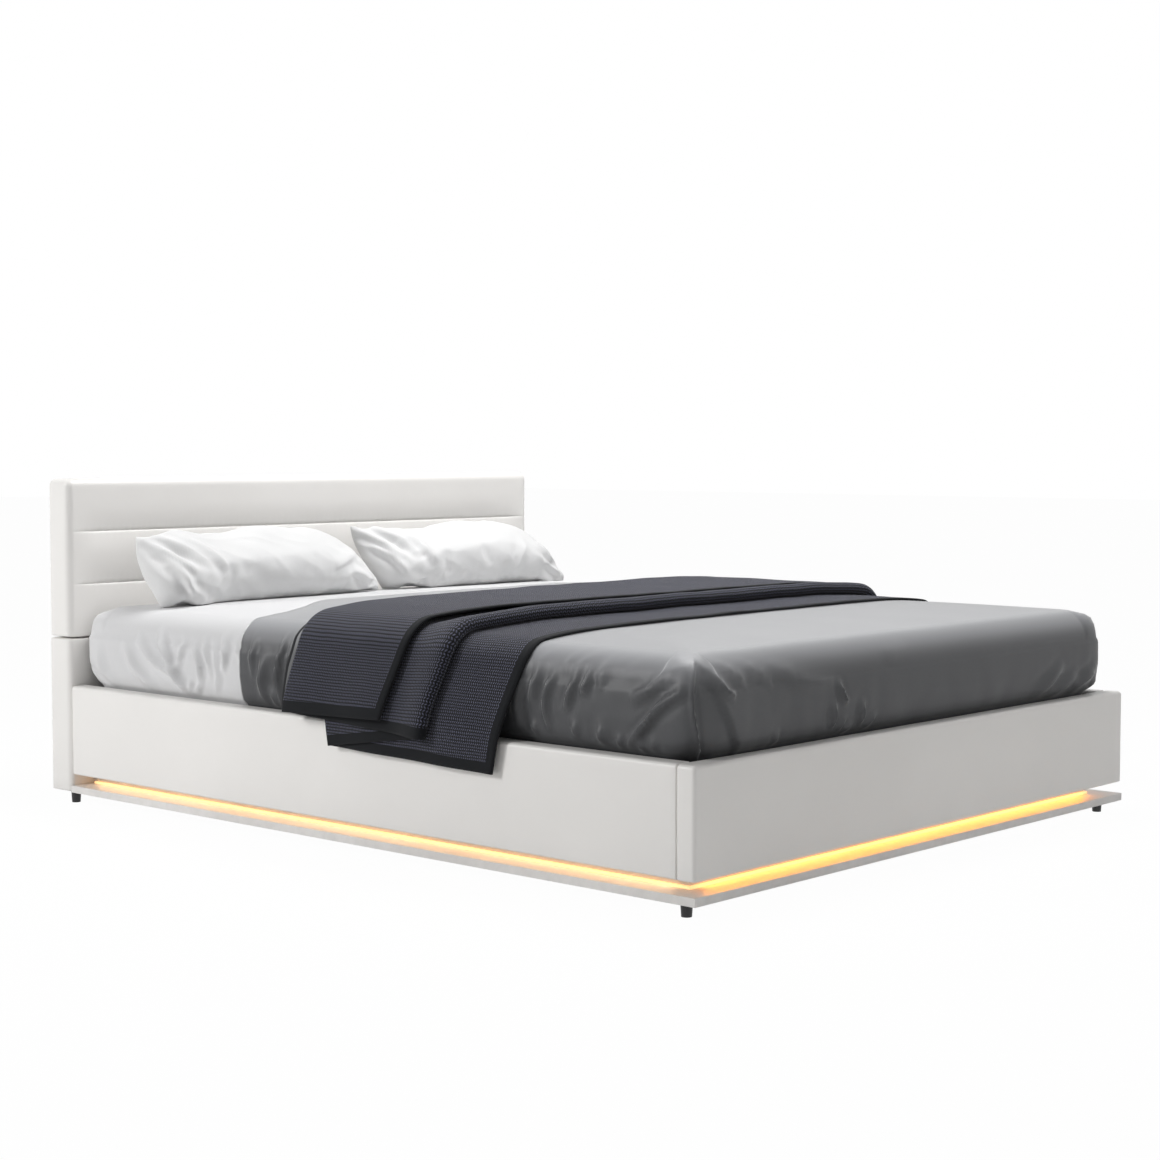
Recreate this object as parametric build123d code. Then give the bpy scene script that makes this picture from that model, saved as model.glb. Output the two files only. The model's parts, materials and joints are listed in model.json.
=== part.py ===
from build123d import *
import math
import os

# Overall bed. The origin is on the floor under the middle of the bed, +Y runs to the headboard.
bed_width = 1720.0
inner_length = 2033.0
rail_thickness = 50.0
rail_height = 231.0
headboard_thickness = 90.0
headboard_height = 844.0

# Base under the rails
foot_height = 30.0
foot_top_radius = 13.0
foot_tip_radius = 11.0
foot_side_inset = 35.5
head_foot_side_inset = 27.0
head_foot_setback = 18.5
plinth_thickness = 18.0
light_gap = 29.0
recess_inset = 70.0
recess_board_thickness = 18.0
floor_thickness = 12.0
floor_joint = 0.8
centre_beam_width = 60.0
centre_leg_radius = 15.0
centre_leg_place_shares = (-0.34, 0.0, 0.34)

# Light strips in the recess
strip_width = 7.0
strip_height = 5.0
strip_end_gap = 12.0
controller_length = 90.0
controller_depth = 70.0
controller_height = 24.0
controller_edge = 3.0
controller_offset = 300.0
inlet_radius = 7.0
inlet_length = 14.0
inlet_bore_radius = 2.8
inlet_bore_depth = 10.0
cable_width = 6.0
cable_thickness = 2.5
cable_clearance = 0.1

# Upholstery on the rails, the foot board and the headboard
board_thickness = 18.0
inner_cover_thickness = 2.0
top_cover_thickness = 12.0
end_cover_thickness = 12.0
cover_edge_radius = 8.0
headboard_core_thickness = 36.0
headboard_pad_thickness = 36.0
headboard_side_cover = 18.0
headboard_edge_radius = 20.0
headboard_back_radius = 12.0
headboard_seam_height = 432.0
headboard_seam_gap = 3.0
channel_depth = 7.0
channel_count = 3
batten_width = 70.0
batten_offset = 480.0
batten_low = 120.0
batten_high = 760.0

# Corner brackets and bolts
bracket_leg = 40.0
bracket_thickness = 3.0
bracket_height = 100.0
bracket_low = 110.0
bolt_radius = 3.5
bolt_head_radius = 7.0
bolt_head_height = 2.6
bolt_length = 20.0
headboard_bolt_length = 60.0
batten_bolt_length = 40.0
bolt_hole_clearance = 0.1
bracket_bolt_setback_share = 0.6
bracket_bolt_height_shares = (0.25, 0.75)
batten_bolt_shares = (-0.85, -0.25, 0.25, 0.85)

# Lifting platform
frame_rise = 146.0
tube_size = 30.0
tube_wall = 1.5
cross_tube_shares = (0.33, 0.67)
frame_side_gap = 54.0
frame_head_gap = 26.5
frame_foot_gap = 26.5
slat_count = 14
slat_width = 68.0
slat_thickness = 10.0
slat_holder_length = 34.0
slat_holder_width = 76.0
slat_holder_base = 3.0
slat_holder_height = 15.0
slat_end_gap = 3.0
batten_rest_depth = 45.0
batten_rest_height = 27.0
rest_pad_height = 3.0
rest_pad_length = 60.0
rest_pad_width = 14.0
rest_pad_offset = 420.0
strap_width = 120.0
strap_height = 20.0
strap_thickness = 2.0
stop_width = 60.0
stop_thickness = 3.0
stop_height = 90.0
stop_offset = 420.0

# Lift mechanism on each side, seen along the bed's width
lift_pivot_from_headboard = 560.5
lift_pivot_rise = 106.0
lift_arm_reach = 168.0
lift_arm_rise = 22.0
guide_pivot_setback = 305.0
guide_pivot_drop = 69.0
guide_arm_reach = 337.0
guide_arm_rise = 49.0
strut_lever_reach = 16.0
strut_lever_rise = 85.0
strut_foot_setback = 82.0
strut_foot_drop = 84.0
arm_radius = 15.0
arm_thickness = 5.0
pivot_radius = 5.0
pivot_head_radius = 8.0
washer_radius = 13.0
pivot_head_height = 2.5
running_clearance = 0.05
open_pivot_clearance = 4.2
plate_thickness = 5.0
plate_margin = 31.0
plate_low_margin = 18.0
plate_corner = 12.0
strut_radius = 9.0
strut_plane = 17.0
strut_eye_thickness = 9.0
strut_eye_radius = 11.0
rod_eye_radius = 14.0
rod_radius = 4.0
strut_body_start = 9.0
strut_body_length = 152.0
rod_bore_depth = 138.0
rod_tail_gap = 8.0
lift_arm_plane = 30.0
guide_arm_plane = 41.0
bracket_margin = 26.0
platform_bracket_thickness = 5.0

# Mattress and bedding
soft_clearance = 0.3
mattress_side_gap = 15.0
mattress_foot_gap = 21.0
mattress_height = 250.0
mattress_head_gap = 22.0
mattress_crown = 24.0
mattress_shoulder = 46.0
mattress_bulge = 5.0
mattress_corner_radius = 95.0
crown_flank_share = 0.72
crown_flank_rise_share = 0.8
crown_arc_share = 0.55
crown_arc_rise_share = 0.68
crown_top_share = 0.75
sheet_thickness = 2.0
sheet_hem_rise = 3.0
coverlet_thickness = 2.5
coverlet_length = 1360.0
coverlet_edge_shares = (-0.84, -0.49)
coverlet_edge_steps = (18.0, 210.0)
coverlet_fold_radius = 6.0
coverlet_fold_inset = 3.6
coverlet_fold_top = 180.0
coverlet_fold_place_shares = (-0.99, -0.93, -0.84, -0.70, -0.52)
throw_layer_thickness = 8.0
throw_gap_to_rail = 1.5
throw_drape_height = 44.0
throw_tail_reach = 80.0
throw_lengths = (640.0, 440.0, 320.0)
throw_hem_rises = (-66.0, -40.0, -16.0)
throw_head_place = 104.0
throw_head_steps = (0.0, 12.0, 22.0)
pillow_width = 730.0
pillow_depth = 300.0
pillow_thickness = 175.0
pillow_tilt = 20.0
pillow_end_thickness = 26.0
pillow_end_hollow = 24.0
pillow_upper_share = 0.62
pillow_sink = 8.0
pillow_head_gap = 66.0
pillow_gap = 82.0
pillow_gap_place = 34.0
pillow_turns = (6.0, 0.0)
pillow_station_shares = (-1.0, -0.86, -0.55, 0.0, 0.55, 0.86, 1.0)
pillow_fullness_shares = (0.0, 0.55, 0.88, 1.0, 0.88, 0.55, 0.0)
pillow_depth_shares = (1.0, 0.97, 0.93, 0.91, 0.93, 0.97, 1.0)

overrun = 6.0

# Places that follow from the sizes above
half_width = bed_width / 2
bed_length = rail_thickness + inner_length + headboard_thickness
foot_face = -bed_length / 2
foot_inner = foot_face + rail_thickness
head_front = foot_inner + inner_length
head_back = head_front + headboard_thickness
rail_inner = half_width - rail_thickness
plinth_top = foot_height + plinth_thickness
rail_low = plinth_top + light_gap
rail_top = rail_low + rail_height
floor_top = rail_low + floor_thickness
recess_face = half_width - recess_inset
recess_back = recess_face - recess_board_thickness
recess_foot_face = foot_face + recess_inset
recess_foot_back = recess_foot_face + recess_board_thickness
recess_head_back = head_front - recess_board_thickness
core_front = head_front + headboard_pad_thickness
core_back = core_front + headboard_core_thickness
lower_panel_top = headboard_seam_height - headboard_seam_gap / 2
upper_panel_low = headboard_seam_height + headboard_seam_gap / 2
frame_top = floor_top + frame_rise
frame_low = frame_top - tube_size
platform_top = frame_top + slat_holder_height
frame_head = head_front - frame_head_gap
frame_foot = foot_inner + frame_foot_gap
frame_side = rail_inner - frame_side_gap
frame_side_inner = frame_side - tube_size
mattress_head = head_front - mattress_head_gap
mattress_foot = foot_inner + mattress_foot_gap
mattress_width = 2 * (rail_inner - mattress_side_gap)
mattress_length = mattress_head - mattress_foot
mattress_middle = (mattress_head + mattress_foot) / 2
pillow_shift = (pillow_gap + pillow_width) / 2
pillow_places = (pillow_gap_place - pillow_shift, pillow_gap_place + pillow_shift)

# Pivots of the lift mechanism as (y, z)
lift_pivot = (head_front - lift_pivot_from_headboard, floor_top + lift_pivot_rise)
lift_end = (lift_pivot[0] + lift_arm_reach, lift_pivot[1] + lift_arm_rise)
guide_pivot = (lift_pivot[0] - guide_pivot_setback, lift_pivot[1] - guide_pivot_drop)
guide_end = (guide_pivot[0] + guide_arm_reach, guide_pivot[1] + guide_arm_rise)
lever_end = (guide_pivot[0] + strut_lever_reach, guide_pivot[1] + strut_lever_rise)
strut_foot = (lift_pivot[0] - strut_foot_setback, lift_pivot[1] - strut_foot_drop)

# Planes across the width where the flat parts of the mechanism lie
plate_face = rail_inner - plate_thickness
strut_middle = rail_inner - strut_plane
lift_arm_face = rail_inner - lift_arm_plane
guide_arm_face = rail_inner - guide_arm_plane
platform_bracket_face = frame_side + platform_bracket_thickness


def block(x, y, z):
    """Box given by its low and high place on each axis."""
    spans = (x, y, z)
    size = [high - low for low, high in spans]
    middle = [(low + high) / 2 for low, high in spans]
    return Pos(*middle) * Box(*size)


def other_side(shape):
    """The same piece on the other side of the bed."""
    return mirror(shape, about=Plane.YZ)


def cut_all(shape, tools):
    for tool in tools:
        shape = shape - tool
    return shape


def round_bar(radius, place, x):
    """Round bar along the bed's width at place (y, z), from x[0] to x[1]."""
    y, z = place
    return Pos((x[0] + x[1]) / 2, y, z) * Rot(0, 90, 0) * Cylinder(radius, x[1] - x[0])


def side_plane(x):
    """Plane across the width at x. Its own axes are the bed's Y and Z."""
    return Plane(origin=(x, 0, 0), x_dir=(0, 1, 0), z_dir=(1, 0, 0))


def cross_plane(y):
    """Plane across the length at y. Its own axes are the bed's X and Z."""
    return Plane(origin=(0, y, 0), x_dir=(1, 0, 0), z_dir=(0, -1, 0))


def link(x_low, thickness, start, end, radius):
    """Flat bar with round ends between two pivots."""
    run = (end[0] - start[0], end[1] - start[1])
    middle = ((start[0] + end[0]) / 2, (start[1] + end[1]) / 2)
    turn = math.degrees(math.atan2(run[1], run[0]))
    outline = Pos(*middle) * Rot(0, 0, turn) * Rectangle(math.hypot(*run), 2 * radius)
    outline = outline + Pos(*start) * Circle(radius) + Pos(*end) * Circle(radius)
    return extrude(side_plane(x_low) * outline, amount=thickness)


# Bolts. Each place is a plane on the face under the bolt's head, facing the head.

def bolt(head_plane, length):
    head = Pos(0, 0, bolt_head_height / 2) * Cylinder(bolt_head_radius, bolt_head_height)
    shank = Pos(0, 0, -length / 2) * Cylinder(bolt_radius, length)
    return head_plane * (head + shank)


def bolt_hole(head_plane, length):
    reach = length + overrun
    shank = Pos(0, 0, (overrun - reach) / 2) * Cylinder(
        bolt_radius + bolt_hole_clearance, reach + overrun)
    return head_plane * shank


def plate_bolt_planes(side):
    low = strut_foot[1]
    high = lift_pivot[1] + bolt_head_radius * 2
    near = guide_pivot[0] - bolt_head_radius * 2
    far = lift_pivot[0] + bolt_head_radius * 3
    middle = (guide_pivot[0] + lift_pivot[0]) / 2
    places = [(near, high), (middle, high), (middle, low), (far, low)]
    normal = (-side, 0, 0)
    return [Plane(origin=(side * plate_face, y, z), z_dir=normal) for y, z in places]


def bracket_bolt_heights():
    return [bracket_low + bracket_height * share for share in bracket_bolt_height_shares]


def rail_bracket_planes(side, corner_y, inward):
    x = side * (rail_inner - bracket_thickness)
    y = corner_y + inward * bracket_leg * bracket_bolt_setback_share
    return [Plane(origin=(x, y, z), z_dir=(-side, 0, 0)) for z in bracket_bolt_heights()]


def end_bracket_planes(side, corner_y, inward):
    x = side * (rail_inner - bracket_leg * bracket_bolt_setback_share)
    y = corner_y + inward * bracket_thickness
    return [Plane(origin=(x, y, z), z_dir=(0, inward, 0)) for z in bracket_bolt_heights()]


def batten_bolt_planes(side):
    half_height = (batten_high - batten_low) / 2
    middle = (batten_high + batten_low) / 2
    heights = [middle + half_height * share for share in batten_bolt_shares]
    y = head_back - bolt_head_height
    return [Plane(origin=(side * batten_offset, y, z), z_dir=(0, 1, 0)) for z in heights]


def rail_planes(side):
    return (plate_bolt_planes(side)
            + rail_bracket_planes(side, foot_inner, 1)
            + rail_bracket_planes(side, head_front, -1))


def all_bolts():
    bolts = []
    for side in (-1, 1):
        bolts += [bolt(plane, bolt_length) for plane in rail_planes(side)]
        bolts += [bolt(plane, bolt_length) for plane in end_bracket_planes(side, foot_inner, 1)]
        bolts += [bolt(plane, headboard_bolt_length)
                  for plane in end_bracket_planes(side, head_front, -1)]
        bolts += [bolt(plane, batten_bolt_length) for plane in batten_bolt_planes(side)]
    return bolts


def corner_brackets():
    brackets = []
    z = (bracket_low, bracket_low + bracket_height)
    for side in (-1, 1):
        for corner_y, inward in ((foot_inner, 1), (head_front, -1)):
            leg_y = sorted((corner_y, corner_y + inward * bracket_leg))
            leg_x = sorted((side * rail_inner, side * (rail_inner - bracket_leg)))
            thin_x = sorted((side * rail_inner, side * (rail_inner - bracket_thickness)))
            thin_y = sorted((corner_y, corner_y + inward * bracket_thickness))
            angle = block(thin_x, leg_y, z) + block(leg_x, thin_y, z)
            planes = rail_bracket_planes(side, corner_y, inward)
            planes += end_bracket_planes(side, corner_y, inward)
            brackets.append(cut_all(angle, [bolt_hole(p, bolt_length) for p in planes]))
    return brackets


# Feet, plinth, recess and storage floor

def foot_at(x, y):
    return Pos(x, y, foot_height / 2) * Cone(foot_tip_radius, foot_top_radius, foot_height)


def corner_feet():
    feet = []
    for side in (-1, 1):
        feet.append(foot_at(side * (half_width - foot_side_inset), foot_inner))
        head_x = side * (half_width - head_foot_side_inset)
        feet.append(foot_at(head_x, head_front + head_foot_setback))
    return feet


def centre_legs():
    places = [share * inner_length for share in centre_leg_place_shares]
    return [Pos(0, y, plinth_top / 2) * Cylinder(centre_leg_radius, plinth_top)
            for y in places]


def side_plinth():
    return block((recess_back, half_width), (foot_inner, head_front),
                 (foot_height, plinth_top))


def foot_plinth():
    z = (foot_height, plinth_top)
    front = block((-half_width, half_width), (foot_face, foot_inner), z)
    back = block((-recess_back, recess_back), (foot_inner, recess_foot_back), z)
    return front + back


def side_recess_board():
    board = block((recess_back, recess_face), (recess_foot_back, head_front),
                  (plinth_top, rail_low))
    return board - cable_passage()


def foot_recess_board():
    return block((-recess_face, recess_face), (recess_foot_face, recess_foot_back),
                 (plinth_top, rail_low))


def head_base_board():
    return block((-recess_back, recess_back), (recess_head_back, head_front),
                 (plinth_top, rail_low))


def centre_beam():
    half = centre_beam_width / 2
    beam = block((-half, half), (recess_foot_back, recess_head_back),
                 (plinth_top, rail_low))
    return beam - cable_notch()


def storage_floor():
    middle_y = (foot_inner + head_front) / 2
    half_joint = floor_joint / 2
    z = (rail_low, floor_top)
    panels = []
    for x in ((-rail_inner, -half_joint), (half_joint, rail_inner)):
        for y in ((foot_inner, middle_y - half_joint), (middle_y + half_joint, head_front)):
            panels.append(block(x, y, z))
    return panels


# Light strips and their supply

def side_strip():
    return block((recess_face, recess_face + strip_width),
                 (recess_foot_face, head_front - strip_end_gap),
                 (plinth_top, plinth_top + strip_height))


def foot_strip():
    reach = recess_face + strip_width
    return block((-reach, reach), (recess_foot_face - strip_width, recess_foot_face),
                 (plinth_top, plinth_top + strip_height))


def controller_span():
    x = (controller_offset, controller_offset + controller_length)
    y = (recess_head_back - controller_depth, recess_head_back)
    z = (rail_low - controller_height, rail_low)
    return x, y, z


def inlet_place():
    """Mouth of the inlet, in the middle of the case's underside."""
    x, y, z = controller_span()
    return (x[0] + x[1]) / 2, (y[0] + y[1]) / 2, z[0]


def light_controller():
    case = block(*controller_span())
    case = fillet(case.edges().filter_by(Axis.Z), controller_edge)
    x, y, z = inlet_place()
    return case - Pos(x, y, z + inlet_length / 2) * Cylinder(inlet_radius, inlet_length)


def power_inlet():
    x, y, z = inlet_place()
    body = Pos(x, y, z + inlet_length / 2) * Cylinder(inlet_radius, inlet_length)
    bore = Cylinder(inlet_bore_radius, inlet_bore_depth)
    return body - Pos(x, y, z + inlet_bore_depth / 2) * bore


def cable_levels():
    middle = (plinth_top + rail_low) / 2
    return middle - cable_width / 2, middle + cable_width / 2


def cable_hole(x):
    low, high = cable_levels()
    return block(x, (recess_head_back - cable_thickness - cable_clearance,
                     recess_head_back + cable_clearance),
                 (low - cable_clearance, high + cable_clearance))


def cable_passage():
    return cable_hole((recess_back - overrun, recess_face + overrun))


def cable_notch():
    half = centre_beam_width / 2
    return cable_hole((-half - overrun, half + overrun))


def light_cables():
    low, high = cable_levels()
    span_x, _, _ = controller_span()
    y = (recess_head_back - cable_thickness, recess_head_back)
    outside = recess_face + cable_thickness
    cables = []
    for side, start in ((-1, -span_x[0]), (1, span_x[1])):
        run = block((start, outside), y, (low, high))
        drop = block((recess_face, outside), y, (plinth_top + strip_height, high))
        cable = run + drop
        cables.append(cable if side > 0 else other_side(cable))
    return cables


# Upholstered boards

def rail_board():
    x_low = rail_inner + inner_cover_thickness
    board = block((x_low, x_low + board_thickness),
                  (foot_inner + end_cover_thickness, head_front - end_cover_thickness),
                  (rail_low, rail_top - top_cover_thickness))
    return cut_all(board, [bolt_hole(p, bolt_length) for p in rail_planes(1)])


def rail_cover():
    cover = block((rail_inner, half_width), (foot_inner, head_front), (rail_low, rail_top))
    cover = fillet(cover.edges(), cover_edge_radius)
    x_low = rail_inner + inner_cover_thickness
    slot = block((x_low, x_low + board_thickness),
                 (foot_inner + end_cover_thickness, head_front - end_cover_thickness),
                 (rail_low - overrun, rail_top - top_cover_thickness))
    return cut_all(cover - slot, [bolt_hole(p, bolt_length) for p in rail_planes(1)])


def foot_bolt_holes():
    planes = end_bracket_planes(-1, foot_inner, 1) + end_bracket_planes(1, foot_inner, 1)
    return [bolt_hole(plane, bolt_length) for plane in planes]


def footboard_board():
    y_high = foot_inner - inner_cover_thickness
    reach = half_width - end_cover_thickness
    board = block((-reach, reach), (y_high - board_thickness, y_high),
                  (rail_low, rail_top - top_cover_thickness))
    return cut_all(board, foot_bolt_holes())


def footboard_cover():
    cover = block((-half_width, half_width), (foot_face, foot_inner), (rail_low, rail_top))
    cover = fillet(cover.edges(), cover_edge_radius)
    y_high = foot_inner - inner_cover_thickness
    reach = half_width - end_cover_thickness
    slot = block((-reach, reach), (y_high - board_thickness, y_high),
                 (rail_low - overrun, rail_top - top_cover_thickness))
    return cut_all(cover - slot, foot_bolt_holes())


def headboard_bolt_holes():
    holes = []
    for side in (-1, 1):
        holes += [bolt_hole(plane, headboard_bolt_length)
                  for plane in end_bracket_planes(side, head_front, -1)]
        holes += [bolt_hole(plane, batten_bolt_length) for plane in batten_bolt_planes(side)]
    return holes


def batten(side):
    half = batten_width / 2
    x = (side * batten_offset - half, side * batten_offset + half)
    return block(x, (core_back, head_back), (batten_low, batten_high))


def batten_recess():
    return [batten(side) for side in (-1, 1)]


def headboard_battens():
    battens = []
    for side in (-1, 1):
        tools = [bolt_hole(plane, batten_bolt_length) for plane in batten_bolt_planes(side)]
        tools += [plane * (Pos(0, 0, bolt_head_height / 2)
                           * Cylinder(bolt_head_radius + bolt_hole_clearance, bolt_head_height))
                  for plane in batten_bolt_planes(side)]
        battens.append(cut_all(batten(side), tools))
    return battens


def headboard_lower_span():
    reach = half_width - headboard_side_cover
    return ((-reach, reach), (core_front, core_back),
            (foot_height, lower_panel_top - headboard_side_cover))


def headboard_lower_board():
    return cut_all(block(*headboard_lower_span()), headboard_bolt_holes())


def headboard_lower_cover():
    cover = block((-half_width, half_width), (head_front, head_back),
                  (foot_height, lower_panel_top))
    cover = fillet(cover.edges(), cover_edge_radius)
    x, y, z = headboard_lower_span()
    cover = cover - block(x, y, (z[0] - overrun, z[1]))
    return cut_all(cover, batten_recess() + headboard_bolt_holes())


def headboard_upper_span():
    reach = half_width - headboard_side_cover
    return ((-reach, reach), (core_front, core_back),
            (upper_panel_low, headboard_height - headboard_side_cover))


def headboard_upper_board():
    return cut_all(block(*headboard_upper_span()), headboard_bolt_holes())


def headboard_upper_cover():
    wrap = block((-half_width, half_width), (core_front, head_back),
                 (upper_panel_low, headboard_height))
    back_edges = wrap.edges().group_by(Axis.Y)[-1]
    top_ends = wrap.edges().filter_by(Axis.Y).group_by(Axis.Z)[-1]
    wrap = fillet(back_edges + top_ends, headboard_back_radius)
    x, y, z = headboard_upper_span()
    wrap = wrap - block(x, (y[0] - overrun, y[1]), (z[0] - overrun, z[1]))
    return cut_all(wrap, batten_recess())


def headboard_pad(index):
    """One sewn channel of the headboard front, full in the middle and drawn in at its seams."""
    height = (headboard_height - upper_panel_low) / channel_count
    low = upper_panel_low + index * height
    high = low + height
    seam = head_front + channel_depth
    outline = [
        Line((core_front, low), (seam, low)),
        ThreePointArc((seam, low), (head_front, (low + high) / 2), (seam, high)),
        Line((seam, high), (core_front, high)),
        Line((core_front, high), (core_front, low)),
    ]
    face = side_plane(-half_width) * make_face(outline)
    channel = extrude(face, amount=bed_width)
    body = block((-half_width, half_width), (head_front - overrun, core_front),
                 (upper_panel_low, headboard_height))
    front = body.edges().group_by(Axis.Y)[0]
    top_ends = body.edges().filter_by(Axis.Y).group_by(Axis.Z)[-1]
    body = fillet(front.sort_by(Axis.Z)[1:] + top_ends, headboard_edge_radius)
    return channel & body


# Platform frame and slats

def tube(x, y, z, along):
    """Square steel tube with open ends."""
    spans = [x, y, z]
    inner = []
    for axis, (low, high) in enumerate(spans):
        if axis == along:
            inner.append((low - overrun, high + overrun))
        else:
            inner.append((low + tube_wall, high - tube_wall))
    return block(*spans) - block(*inner)


def frame_levels():
    return frame_low, frame_top


def frame_side_tube():
    return tube((frame_side_inner, frame_side), (frame_foot, frame_head), frame_levels(), 1)


def frame_end_tubes():
    x = (-frame_side_inner, frame_side_inner)
    ends = ((frame_foot, frame_foot + tube_size), (frame_head - tube_size, frame_head))
    return [tube(x, y, frame_levels(), 0) for y in ends]


def frame_centre_tube():
    half = tube_size / 2
    return tube((-half, half), (frame_foot + tube_size, frame_head - tube_size),
                frame_levels(), 1)


def frame_cross_tubes():
    length = frame_head - frame_foot
    half = tube_size / 2
    tubes = []
    for share in cross_tube_shares:
        y = frame_foot + length * share
        for x in ((-frame_side_inner, -half), (half, frame_side_inner)):
            tubes.append(tube(x, (y - half, y + half), frame_levels(), 0))
    return tubes


def slat_rows():
    pitch = (frame_head - frame_foot) / slat_count
    return [frame_foot + pitch * (index + 0.5) for index in range(slat_count)]


def slat_spans(side, y):
    inner = sorted((side * slat_end_gap, side * (frame_side - slat_end_gap)))
    z = (frame_top + slat_holder_base, frame_top + slat_holder_base + slat_thickness)
    return inner, (y - slat_width / 2, y + slat_width / 2), z


def slats():
    return [block(*slat_spans(side, y)) for side in (-1, 1) for y in slat_rows()]


def slat_holders():
    holders = []
    for y in slat_rows():
        span_y = (y - slat_holder_width / 2, y + slat_holder_width / 2)
        z = (frame_top, platform_top)
        half = slat_holder_length / 2
        pockets = [block(*slat_spans(side, y)) for side in (-1, 1)]
        places = (-frame_side + half, 0, frame_side - half)
        for x in places:
            holder = block((x - half, x + half), span_y, z)
            holders.append(cut_all(holder, pockets))
    return holders


def foot_rest_batten():
    x = (-frame_side_inner, frame_side_inner)
    top = frame_low - rest_pad_height
    return block(x, (foot_inner, foot_inner + batten_rest_depth),
                 (top - batten_rest_height, top))


def rest_pads():
    y_high = foot_inner + batten_rest_depth
    pads = []
    for x in (-rest_pad_offset, 0, rest_pad_offset):
        pads.append(block((x - rest_pad_length / 2, x + rest_pad_length / 2),
                          (y_high - rest_pad_width, y_high),
                          (frame_low - rest_pad_height, frame_low)))
    return pads


def pull_strap():
    half = strap_width / 2
    return block((-half, half), (frame_foot - strap_thickness, frame_foot),
                 (frame_top - strap_height, frame_top))


def mattress_stops():
    """Angle plates that keep the mattress from sliding to the headboard when it is raised."""
    face = mattress_head + 2 * soft_clearance + sheet_thickness
    stops = []
    for x in (-stop_offset, stop_offset):
        half = stop_width / 2
        span = (x - half, x + half)
        foot = block(span, (frame_head, face), (frame_low, frame_low + stop_thickness))
        upright = block(span, (face, face + stop_thickness),
                        (frame_low, frame_low + stop_height))
        stops.append(foot + upright)
    return stops


# Lift mechanism, right-hand side. The left side is its mirror image.

def hinge_plate():
    y_low = guide_pivot[0] - plate_margin
    y_high = lift_pivot[0] + plate_margin
    z_low = strut_foot[1] - plate_low_margin
    z_high = lift_pivot[1] + plate_margin
    outline = RectangleRounded(y_high - y_low, z_high - z_low, plate_corner)
    middle = ((y_low + y_high) / 2, (z_low + z_high) / 2)
    plate = extrude(side_plane(plate_face) * (Pos(*middle) * outline), amount=plate_thickness)
    return cut_all(plate, [bolt_hole(plane, bolt_length) for plane in plate_bolt_planes(1)])


def pivot_hole(shape, place, x, clearance):
    hole = round_bar(pivot_radius + clearance, place, (x[0] - overrun, x[1] + overrun))
    return shape - hole


def arm_span(face):
    return face - arm_thickness, face


def lift_arm():
    x = arm_span(lift_arm_face)
    arm = link(x[0], arm_thickness, lift_pivot, lift_end, arm_radius)
    arm = pivot_hole(arm, lift_pivot, x, running_clearance)
    return pivot_hole(arm, lift_end, x, running_clearance)


def guide_arm():
    """Bell crank: the long arm steadies the platform, the short one takes the strut."""
    x = arm_span(guide_arm_face)
    arm = link(x[0], arm_thickness, guide_pivot, guide_end, arm_radius)
    arm = arm + link(x[0], arm_thickness, guide_pivot, lever_end, arm_radius)
    arm = pivot_hole(arm, guide_pivot, x, running_clearance)
    return pivot_hole(arm, guide_end, x, open_pivot_clearance)


def headed_pin(place, root_x, far_x, head_radius):
    """Pin from its fixed end root_x to the far face of its head at far_x."""
    inward = 1 if far_x > root_x else -1
    head_x = far_x - inward * pivot_head_height
    shank = round_bar(pivot_radius, place, sorted((root_x, far_x)))
    head = round_bar(head_radius, place, sorted((head_x, far_x)))
    return shank + head


def fixed_pins():
    """Pins on the rail plate for the lift arm, the guide arm and the strut's lower eye."""
    gap = soft_clearance
    head = pivot_head_height + gap
    lift_x = lift_arm_face - arm_thickness - head
    guide_x = guide_arm_face - arm_thickness - head
    strut_x = strut_middle - strut_eye_thickness / 2 - head
    return [headed_pin(lift_pivot, plate_face, lift_x, pivot_head_radius),
            headed_pin(guide_pivot, plate_face, guide_x, pivot_head_radius),
            headed_pin(strut_foot, plate_face, strut_x, pivot_head_radius)]


def platform_pins():
    """Pins on the platform bracket for the lift arm and the guide arm."""
    head = pivot_head_height + soft_clearance
    root = platform_bracket_face
    return [headed_pin(lift_end, root, lift_arm_face + head, pivot_head_radius),
            headed_pin(guide_end, root, guide_arm_face + head, washer_radius)]


def lever_pin():
    """Pin on the guide arm's short lever for the strut's upper eye."""
    far = strut_middle + strut_eye_thickness / 2 + pivot_head_height + soft_clearance
    return headed_pin(lever_end, guide_arm_face, far, washer_radius)


def platform_bracket():
    x_low = frame_side
    spine = link(x_low, platform_bracket_thickness, lift_end, guide_end, arm_radius)
    top = frame_top - strut_eye_thickness / 2
    y = (guide_end[0] - bracket_margin, lift_end[0] + bracket_margin)
    flange = block((x_low, x_low + platform_bracket_thickness), y, (frame_low, top))
    return spine + flange


def strut_frame():
    """Plane at the strut's lower eye: its own X runs to the upper eye, its Y across the bed."""
    run = (lever_end[0] - strut_foot[0], lever_end[1] - strut_foot[1])
    length = math.hypot(*run)
    along = (0, run[0] / length, run[1] / length)
    return Plane(origin=(strut_middle, *strut_foot), x_dir=along, z_dir=(1, 0, 0)), length


def strut_bar(radius, start, end):
    return Pos((start + end) / 2, 0, 0) * Rot(0, 90, 0) * Cylinder(radius, end - start)


def strut_eye(radius, place, hole_clearance):
    disc = Pos(place, 0, 0) * Cylinder(radius, strut_eye_thickness)
    hole = Pos(place, 0, 0) * Cylinder(pivot_radius + hole_clearance,
                                       strut_eye_thickness + overrun)
    return disc, hole


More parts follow.
